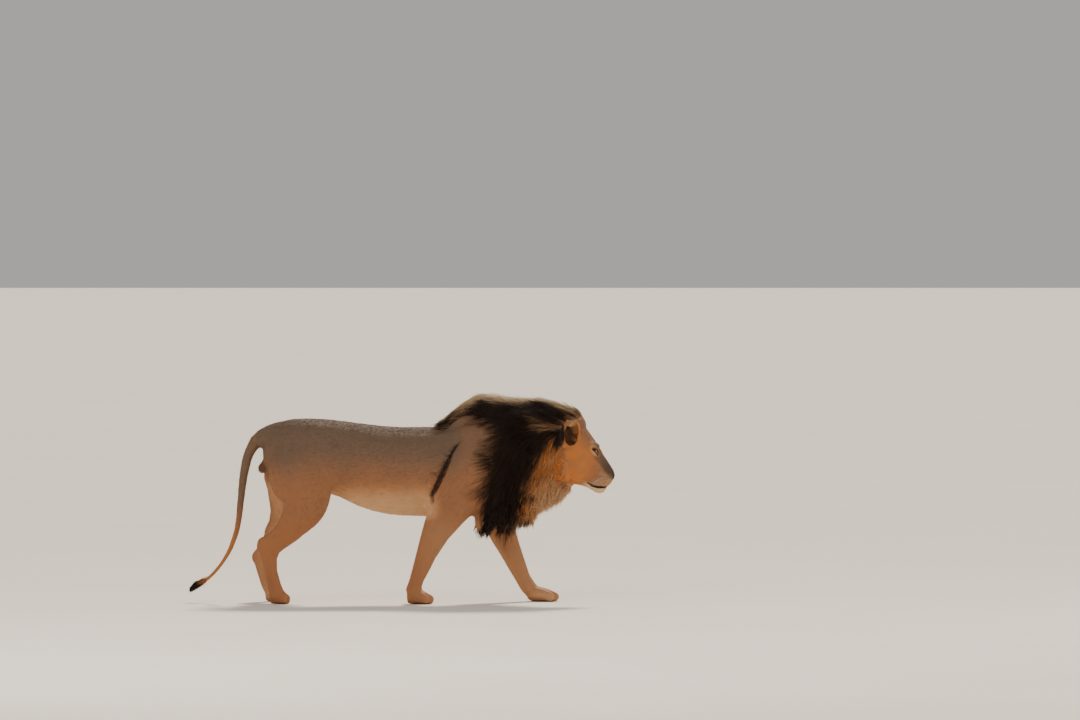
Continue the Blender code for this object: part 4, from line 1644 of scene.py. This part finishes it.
@dataclass
class Hairs:
    """Tapered solid hairs along given lines, joined in one mesh."""

    roots: Roots
    lines: Array
    width: Array
    shade: Array
    flatness: float = 0.5
    patch: float = 0.003
    sides: int = 3

    @property
    def share(self) -> Array:
        """How far along its line each ring of a hair is, from 0 to 1."""
        return np.linspace(0.0, 1.0, self.lines.shape[1])

    @property
    def angle(self) -> Array:
        """Where each side stands round a hair."""
        return math.tau * np.arange(self.sides) / self.sides + math.pi / 6

    @property
    def taper(self) -> Array:
        """How thick a hair is at each ring: it narrows evenly if it has only a root and a tip."""
        if len(self.share) == 2:
            return 1.0 - self.share
        return (0.55 + 0.45 * np.minimum(1.0, 4.0 * self.share)) * (1.0 - self.share**2.2)

    def mesh(self, name: str) -> bpy.types.Object:
        """Makes the mesh.

        Args:
            name: The piece's name.

        Returns:
            The piece.
        """
        points = self.corners()
        count, each, _ = points.shape
        loops, totals = self.faces()
        index = (loops[None, :] + np.arange(count)[:, None] * each).ravel().astype(np.int32)
        total = np.tile(totals, count)
        start = np.concatenate([[0], np.cumsum(total)[:-1]]).astype(np.int32)
        mesh = bpy.data.meshes.new(name)
        mesh.vertices.add(count * each)
        mesh.vertices.foreach_set("co", points.reshape(-1).astype(np.float32))
        mesh.loops.add(len(index))
        mesh.loops.foreach_set("vertex_index", index)
        mesh.polygons.add(len(total))
        mesh.polygons.foreach_set("loop_start", start)
        mesh.polygons.foreach_set("use_smooth", np.full(len(total), len(self.share) > 2))
        mesh.update(calc_edges=True)
        piece = placed(name, mesh)
        self.dress(piece, index)
        return piece

    def corners(self) -> Array:
        """The corners of each hair: rings round its line, and its tip.

        Returns:
            The places of the corners, for each hair.
        """
        ahead = unit(np.gradient(self.lines, axis=1))
        across = unit(np.cross(ahead, self.roots.normals[:, None, :]) + 1e-6)
        over = np.cross(ahead, across)
        half = (0.5 * self.width[:, None] * self.taper[None, :])[:, :, None, None]
        wide = np.cos(self.angle)[None, None, :, None] * half * across[:, :, None, :]
        thick = np.sin(self.angle)[None, None, :, None] * half * over[:, :, None, :]
        tubes = (self.lines[:, :, None, :] + wide + self.flatness * thick)[:, :-1]
        return np.concatenate([tubes.reshape(len(tubes), -1, 3), self.lines[:, -1:, :]], axis=1)

    def faces(self) -> tuple[Array, Array]:
        """The faces of one hair: its sides between the rings, its point and its closed root.

        Returns:
            The corners of its faces, one face after another, and how many each face has.
        """
        sides, rings = self.sides, len(self.share) - 1
        tip = rings * sides
        faces = []
        for low in range(0, tip, sides):
            for side in range(sides):
                near, following = low + side, low + (side + 1) % sides
                beyond = [following + sides, near + sides] if low + sides < tip else [tip]
                faces.append([near, following] + beyond)
        faces.append(list(range(sides))[::-1])
        return np.concatenate(faces), np.array([len(face) for face in faces], dtype=np.int32)

    def dress(self, piece: bpy.types.Object, index: Array) -> None:
        """Lays each hair out flat beside its root's place, and stores what the finish reads.

        Args:
            piece: The piece.
            index: The corner at each place of its faces.
        """
        share = np.append(np.repeat(self.share[:-1], self.sides), 1.0)
        spread = np.append(np.tile(np.cos(self.angle), len(self.share) - 1), 0.0) / 2
        patch = np.stack([spread, share - 0.5], axis=1) * self.patch
        flat = (self.roots.unwrapped[:, None, :] + patch[None, :, :]).reshape(-1, 2)
        layer = piece.data.uv_layers.new(name=UNWRAP)
        layer.uv.foreach_set("vector", flat[index].ravel().astype(np.float32))
        carry(piece, "along", np.tile(share, len(self.lines)))
        carry(piece, "shade", np.repeat(self.shade, len(share)))
        for mark, value in self.roots.marks.items():
            carry(piece, mark.value, np.repeat(value, len(share)))


@dataclass
class ShortCoat:
    """The body's flat coat: fine tufts that lie along the skin and only break its form."""

    hide: Hide
    name: str
    count: int
    length: float
    width: float
    where: Callable[[Array], Array]
    seed: int
    lift: float
    stray: float = 0.16
    rooted: float = 0.0008
    ground: float = 0.0006

    def build(self) -> list[bpy.types.Object]:
        """Makes the tufts.

        Returns:
            The one piece.
        """
        chance = np.random.default_rng(self.seed)
        roots = self.hide.scatter(self.count, self.density(self.hide.points), chance)
        lie = self.hide.skin.pattern.comb(roots.points) + self.stray * chance.normal(size=(self.count, 3))
        lie = unit(lie - dot(lie, roots.normals) * roots.normals)
        leg = 1 - 0.45 * ease(roots.points[:, 2:], 0.50, 0.32)
        length = self.length * leg * chance.uniform(0.7, 1.25, (self.count, 1))
        rise = self.lift * chance.uniform(0.4, 1.5, (self.count, 1))
        tips = roots.points + length * (lie + rise * roots.normals)
        tips[:, 2] = np.maximum(tips[:, 2], self.ground)
        lines = np.stack([roots.points - self.rooted * roots.normals, tips], axis=1)
        width = self.width * chance.uniform(0.75, 1.25, self.count)
        return [Hairs(roots, lines, width, chance.random(self.count)).mesh(self.name)]

    def density(self, points: Array) -> Array:
        """How thickly the tufts stand: none in the mane, on the bare nose or at the lids' edges.

        Args:
            points: The skin's points.

        Returns:
            The share, from 0 to 1.
        """
        pattern = self.hide.skin.pattern
        short = (1 - pattern.long_hair(points)) * self.where(points)
        short *= 1 - Muzzle().bare(pattern.head.local(points))
        for name in EYES:
            lids = Lids(name)
            short *= np.maximum(ease(lids.outside(points), 0.002, 0.006), 1 - lids.before(points))
        return short


@dataclass
class LongHair:
    """Locks that are combed along the body, between the skin and the coat's outer form."""

    hide: Hide
    name: str
    count: int
    length: float
    width: float
    density: Callable[[Array], Array]
    seed: int
    rings: int = 6
    ceiling: tuple[float, float] = (-0.022, 0.009)
    clump: float = 0.55
    sway: float = 0.0022
    pieces: int = 1
    by_region: bool = False
    free: float = 0.035
    laid: float = 0.85
    heading: Optional[Place] = None
    followers: int = 9
    stray: float = 0.16
    rooted: float = 0.003
    ground: float = 0.003
    lift: float = 0.75
    stiffness: float = 1.2

    def build(self) -> list[bpy.types.Object]:
        """Makes the locks.

        Returns:
            The pieces.
        """
        chance = np.random.default_rng(self.seed)
        roots = self.hide.scatter(self.count, self.density(self.hide.points), chance)
        lines = self.gather(roots, self.grow(roots, chance), chance)
        width = self.width * chance.uniform(0.7, 1.3, self.count)
        shade = chance.random(self.count) ** 1.5
        made = []
        for part in range(self.pieces):
            chosen = np.arange(part, self.count, self.pieces)
            name = self.name if self.pieces == 1 else f"{self.name}_{part + 1}"
            made.append(Hairs(roots.part(chosen), lines[chosen], width[chosen], shade[chosen]).mesh(name))
        return made

    def grow(self, roots: Roots, chance: np.random.Generator) -> Array:
        """Leads each lock along the lie of the coat, and keeps it within the outer form.

        Args:
            roots: Where the locks start.
            chance: The source of chance.

        Returns:
            A line of points for each lock.
        """
        pattern = self.hide.skin.pattern
        spot = roots.points - self.rooted * roots.normals
        share = pattern.hair_length(roots.points)[:, None] if self.by_region else 1.0
        step = share * self.length / (self.rings - 1) * chance.uniform(0.65, 1.2, (self.count, 1))
        ceiling = chance.uniform(*self.ceiling, self.count)
        ceiling = np.maximum(ceiling, 0.002 - 0.5 * pattern.depth(roots.points))
        loose = self.free * chance.uniform(0.1, 1.9, self.count)
        stray = self.stray * chance.normal(size=(self.count, 3))
        normal = roots.normals.copy()
        line = [spot]
        before = None
        for ring in range(1, self.rings):
            lie = pattern.comb(spot) if self.heading is None else unit(mirrored(self.heading, spot))
            lie = lie + stray
            laid = self.laid * ease(-normal[:, 2:], 0.6, 0.2)
            lie = unit(lie - dot(lie, normal) * normal * laid)
            lie = unit(lie + self.lift * (1 - ring / self.rings) ** 2 * normal)
            before = lie if before is None else unit(lie + self.stiffness * before)
            spot = spot + step * before
            self.hold(spot, line[-1], normal, ceiling, loose)
            line.append(spot.copy())
        return np.stack(line, axis=1)

    def hold(self, spot: Array, last: Array, normal: Array, ceiling: Array, loose: Array) -> None:
        """Keeps the locks' next points under the outer form, and over the ground.

        Args:
            spot: The points, which are moved.
            last: The points before them.
            normal: The outer form's direction along each lock, which is brought up to date.
            ceiling: How far over the outer form each lock may rise.
            loose: How much further it may hang below the body or stand over its top.
        """
        for index, place in enumerate(spot):
            surface, out, _, _ = self.hide.skin.hull.find_nearest(Vector(place))
            height = (Vector(place) - surface).dot(out)
            limit = ceiling[index] + loose[index] * (max(0.0, -out.z - 0.3) + 0.7 * max(0.0, out.z - 0.6))
            if height > limit and out.z < -0.3:
                spot[index] = last[index] + 0.15 * (spot[index] - last[index])
            elif height > limit:
                spot[index] -= np.array(out) * (height - limit)
            normal[index] = 0.5 * normal[index] + 0.5 * np.array(out)
        spot[:, 2] = np.maximum(spot[:, 2], self.ground)

    def gather(self, roots: Roots, lines: Array, chance: np.random.Generator) -> Array:
        """Draws neighbouring locks together towards their tips, and lets them sway.

        Args:
            roots: Where the locks start.
            lines: The locks' lines.
            chance: The source of chance.

        Returns:
            The new lines.
        """
        leaders = chance.choice(self.count, max(1, self.count // self.followers), replace=False)
        tree = KDTree(len(leaders))
        for order, leader in enumerate(leaders):
            tree.insert(roots.points[leader], order)
        tree.balance()
        lead = leaders[[tree.find(point)[1] for point in roots.points]]
        share = np.linspace(0, 1, self.rings)[None, :, None]
        lines = lines + (lines[lead] - lines) * (self.clump * share**1.4)
        phase = chance.uniform(0, math.tau, (self.count, 1, 1))
        across = unit(np.cross(unit(lines[:, -1] - lines[:, 0]), roots.normals) + 1e-6)[:, None, :]
        return lines + self.sway * share * np.sin(phase + 3.0 * share) * across


@dataclass
class Whiskers:
    """The long stiff hairs of the upper lip."""

    hide: Hide
    length: float = 0.080
    width: float = 0.0009
    rings: int = 8
    seed: int = 31
    out: Place = (-0.30, 0.90, -0.10)
    fall: Place = (-0.42, -0.10, -0.28)
    stray: float = 0.10
    rooted: float = 0.002

    def build(self) -> list[bpy.types.Object]:
        """Makes the whiskers.

        Returns:
            The one piece.
        """
        chance = np.random.default_rng(self.seed)
        head = self.hide.skin.pattern.head
        spots = [head.world((x, side * 0.090, z)) for x, z in Muzzle().spots() for side in (1.0, -1.0)]
        roots = self.hide.at(np.array(spots))
        count = len(spots)
        out = mirrored(self.out, roots.points) + self.stray * chance.normal(size=(count, 3))
        fall = mirrored(self.fall, roots.points)
        length = self.length * chance.uniform(0.5, 1.2, (count, 1))
        share = np.linspace(0.0, 1.0, self.rings)[None, :, None]
        bend = out[:, None, :] * share + fall[:, None, :] * share**2
        lines = roots.points[:, None, :] + length[:, None, :] * bend
        lines[:, 0] -= self.rooted * roots.normals
        return [Hairs(roots, lines, np.full(count, self.width), np.zeros(count), 1.0).mesh("whiskers")]


@dataclass(frozen=True)
class Regions:
    """Where the pieces of the coat are rooted, on the finished skin."""

    hide: Hide

    def face(self, points: Array) -> Array:
        """1 on the face, 0 elsewhere."""
        return ease(points[:, 0], 0.83, 0.87)

    def paws(self, points: Array) -> Array:
        """1 on the paws, 0 above them."""
        return ease(points[:, 2], 0.10, 0.07)

    def body(self, points: Array) -> Array:
        """1 on the trunk, legs and tail."""
        return (1 - self.face(points)) * (1 - self.paws(points))

    def tuft(self, points: Array) -> Array:
        """1 at the tail's end."""
        return ease(points[:, 0], -1.03, -1.06)

    def ear_rims(self, points: Array) -> Array:
        """1 along the ears' rims."""
        ears = [EarShape(name) for name in EARS]
        return sum(ear.inside_box(points) * ease(ear.from_rim(points), 0.012, 0.004) for ear in ears)

    def ear_linings(self, points: Array) -> Array:
        """1 where the ears' inner hairs are rooted."""
        return sum(EarShape(name).lining(points, self.hide.normals) for name in EARS)


class Slot(Enum):
    """The kind of finish that a layer is listed with."""

    COAT = "coat"
    MANE = "mane"
    PALE = "pale_coat"
    IRIS = "iris"


@dataclass
class Layer:
    """One layer of the coat, its finish, and the solids that it stands for."""

    hair: Union[ShortCoat, LongHair, Whiskers]
    finish: bpy.types.Material
    slot: Slot
    nodes: tuple[str, ...]


def layers(hide: Hide) -> list[Layer]:
    """All layers of the coat.

    Args:
        hide: The finished skin.

    Returns:
        The layers, in the order of their making.
    """
    on, pattern = Regions(hide), hide.skin.pattern
    coat = HairFinish("short_coat", shading=0.26, lit_tips=0.10).material()
    face = HairFinish("face_coat", shading=0.18, lit_tips=0.06).material()
    mane = HairFinish("mane_hair", roughness=0.5, shading=0.26, lit_tips=0.12).material()
    bristle = HairFinish("whisker", *[tone(206, 188, 162)] * 5).material()
    lining = HairFinish("ear_lining", dark=tone(150, 110, 78)).material()
    trunk = ("belly", "hips")
    body_1 = ShortCoat(hide, "coat_body_1", 40000, 0.015, 0.0019, on.body, 11, 0.15)
    body_2 = ShortCoat(hide, "coat_body_2", 40000, 0.013, 0.0016, on.body, 12, 0.15)
    cheeks = ShortCoat(hide, "coat_face", 34000, 0.0060, 0.0012, on.face, 13, 0.16)
    paws = ShortCoat(hide, "coat_paws", 10000, 0.0070, 0.0015, on.paws, 14, 0.16)
    locks = LongHair(
        hide, "mane_locks", 31000, 0.170, 0.0032, pattern.mane_roots, 21, pieces=5, by_region=True
    )
    rims = LongHair(hide, "ear_rims", 1100, 0.020, 0.0016, on.ear_rims, 25, ceiling=(0.006, 0.016), clump=0.3)
    hollows = LongHair(
        hide, "ear_hair", 1700, 0.050, 0.0018, on.ear_linings, 24,
        ceiling=(0.010, 0.026), clump=0.4, laid=0.25, heading=(-0.62, 0.62, 0.25),
    )
    fringe = LongHair(
        hide, "elbow_fringe", 1000, 0.036, 0.0026, pattern.on_fringe, 23, ceiling=(-0.004, 0.006), clump=0.4
    )
    tuft = LongHair(hide, "tail_tuft_hair", 700, 0.055, 0.0030, on.tuft, 22, ceiling=(-0.01, 0.004))
    return [
        Layer(body_1, coat, Slot.COAT, trunk),
        Layer(body_2, coat, Slot.COAT, trunk),
        Layer(cheeks, face, Slot.COAT, trunk),
        Layer(paws, coat, Slot.COAT, trunk),
        Layer(locks, mane, Slot.MANE, ("mane_front", "mane_back")),
        Layer(rims, coat, Slot.COAT, EARS),
        Layer(Whiskers(hide), bristle, Slot.PALE, ("muzzle",)),
        Layer(hollows, lining, Slot.PALE, EARS),
        Layer(fringe, mane, Slot.MANE, ("shoulder_right", "chest")),
        Layer(tuft, mane, Slot.MANE, ("tail_tuft",)),
    ]


# ---------------------------------------------------------------- the studio
@dataclass
class Studio:
    """The floor, the lights and the camera."""

    reach: float = 35.0
    lens: float = 220.0
    camera_height: float = 1.80
    aim: Place = (0.726, 0.0, 1.288)
    floor_size: float = 900.0
    lit: Place = (0.0, 0.0, 0.7)
    sky: Colour = (0.90, 0.86, 0.82)
    sky_strength: float = 0.50

    def build(self) -> None:
        """Sets the studio up."""
        bpy.ops.object.select_all(action="DESELECT")
        bpy.ops.mesh.primitive_plane_add(size=self.floor_size, location=(0, 0, 0))
        floor = bpy.context.active_object
        floor.name = "floor"
        floor.data.materials.append(FloorFinish().material())
        self.panel("key", (-2.5, -7.0, 5.5), 5.0, 260.0, (1.0, 0.96, 0.92))
        self.panel("front", (8.0, -2.0, 2.2), 3.0, 120.0, (1.0, 0.95, 0.90))
        self.sun("rim", (1.2, 4.0, 4.6), 4.2, math.radians(12.0), (1.0, 0.90, 0.76))
        world = bpy.data.worlds.new("studio")
        bpy.context.scene.world = world
        world.use_nodes = True
        background = world.node_tree.nodes["Background"]
        background.inputs["Color"].default_value = (*self.sky, 1.0)
        background.inputs["Strength"].default_value = self.sky_strength
        camera = placed("camera", bpy.data.cameras.new("camera"))
        camera.data.lens = self.lens
        camera.data.clip_end = 2000.0
        camera.location = (self.aim[0], -self.reach, self.camera_height)
        self.face(camera, Vector(self.aim) - camera.location)
        bpy.context.scene.camera = camera

    def face(self, holder: bpy.types.Object, heading: Vector) -> None:
        """Turns a light or the camera."""
        holder.rotation_euler = heading.to_track_quat("-Z", "Y").to_euler()

    def sun(self, name: str, place: Place, strength: float, spread: float, colour: Colour) -> None:
        """Adds a far soft light that lights the whole floor evenly.

        Args:
            name: Its name.
            place: The way that it shines from.
            strength: Its strength.
            spread: The angle that it fills.
            colour: Its colour.
        """
        lamp = bpy.data.lights.new(name, "SUN")
        lamp.energy, lamp.angle, lamp.color = strength, spread, colour
        self.face(placed(name, lamp), -Vector(place))

    def panel(self, name: str, place: Place, size: float, power: float, colour: Colour) -> None:
        """Adds a soft light that faces the lion.

        Args:
            name: Its name.
            place: Where it hangs.
            size: Its side, in metres.
            power: Its power, in watts.
            colour: Its colour.
        """
        lamp = bpy.data.lights.new(name, "AREA")
        lamp.size, lamp.energy, lamp.color = size, power, colour
        holder = placed(name, lamp)
        holder.location = place
        self.face(holder, Vector(self.lit) - holder.location)


# ---------------------------------------------------------------- putting it together
def settle(piece: bpy.types.Object, nodes: tuple[str, ...]) -> None:
    """Ties a piece to the frame and reports it.

    Args:
        piece: The piece.
        nodes: The solids that it stands for.
    """
    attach(piece, "root")
    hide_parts(*nodes)
    faces = sum(len(face.vertices) - 2 for face in piece.data.polygons)
    LOG.info("%s: %d triangles", piece.name, faces)


def main() -> None:
    """Builds the lion and its studio."""
    logging.basicConfig(level=logging.INFO, format="%(name)s %(relativeCreated)d %(message)s")
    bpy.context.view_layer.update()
    Studio().build()
    skin = Skin(Pattern())
    flesh = tuple(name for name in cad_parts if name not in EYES)
    settle(skin.build(), flesh)
    for name in EYES:
        settle(Eye(name).build(), (name,))
    for layer in layers(Hide(skin)):
        for piece in layer.hair.build():
            piece.data.materials.append(layer.finish)
            settle(piece, layer.nodes)


if __name__ == "__main__":
    main()
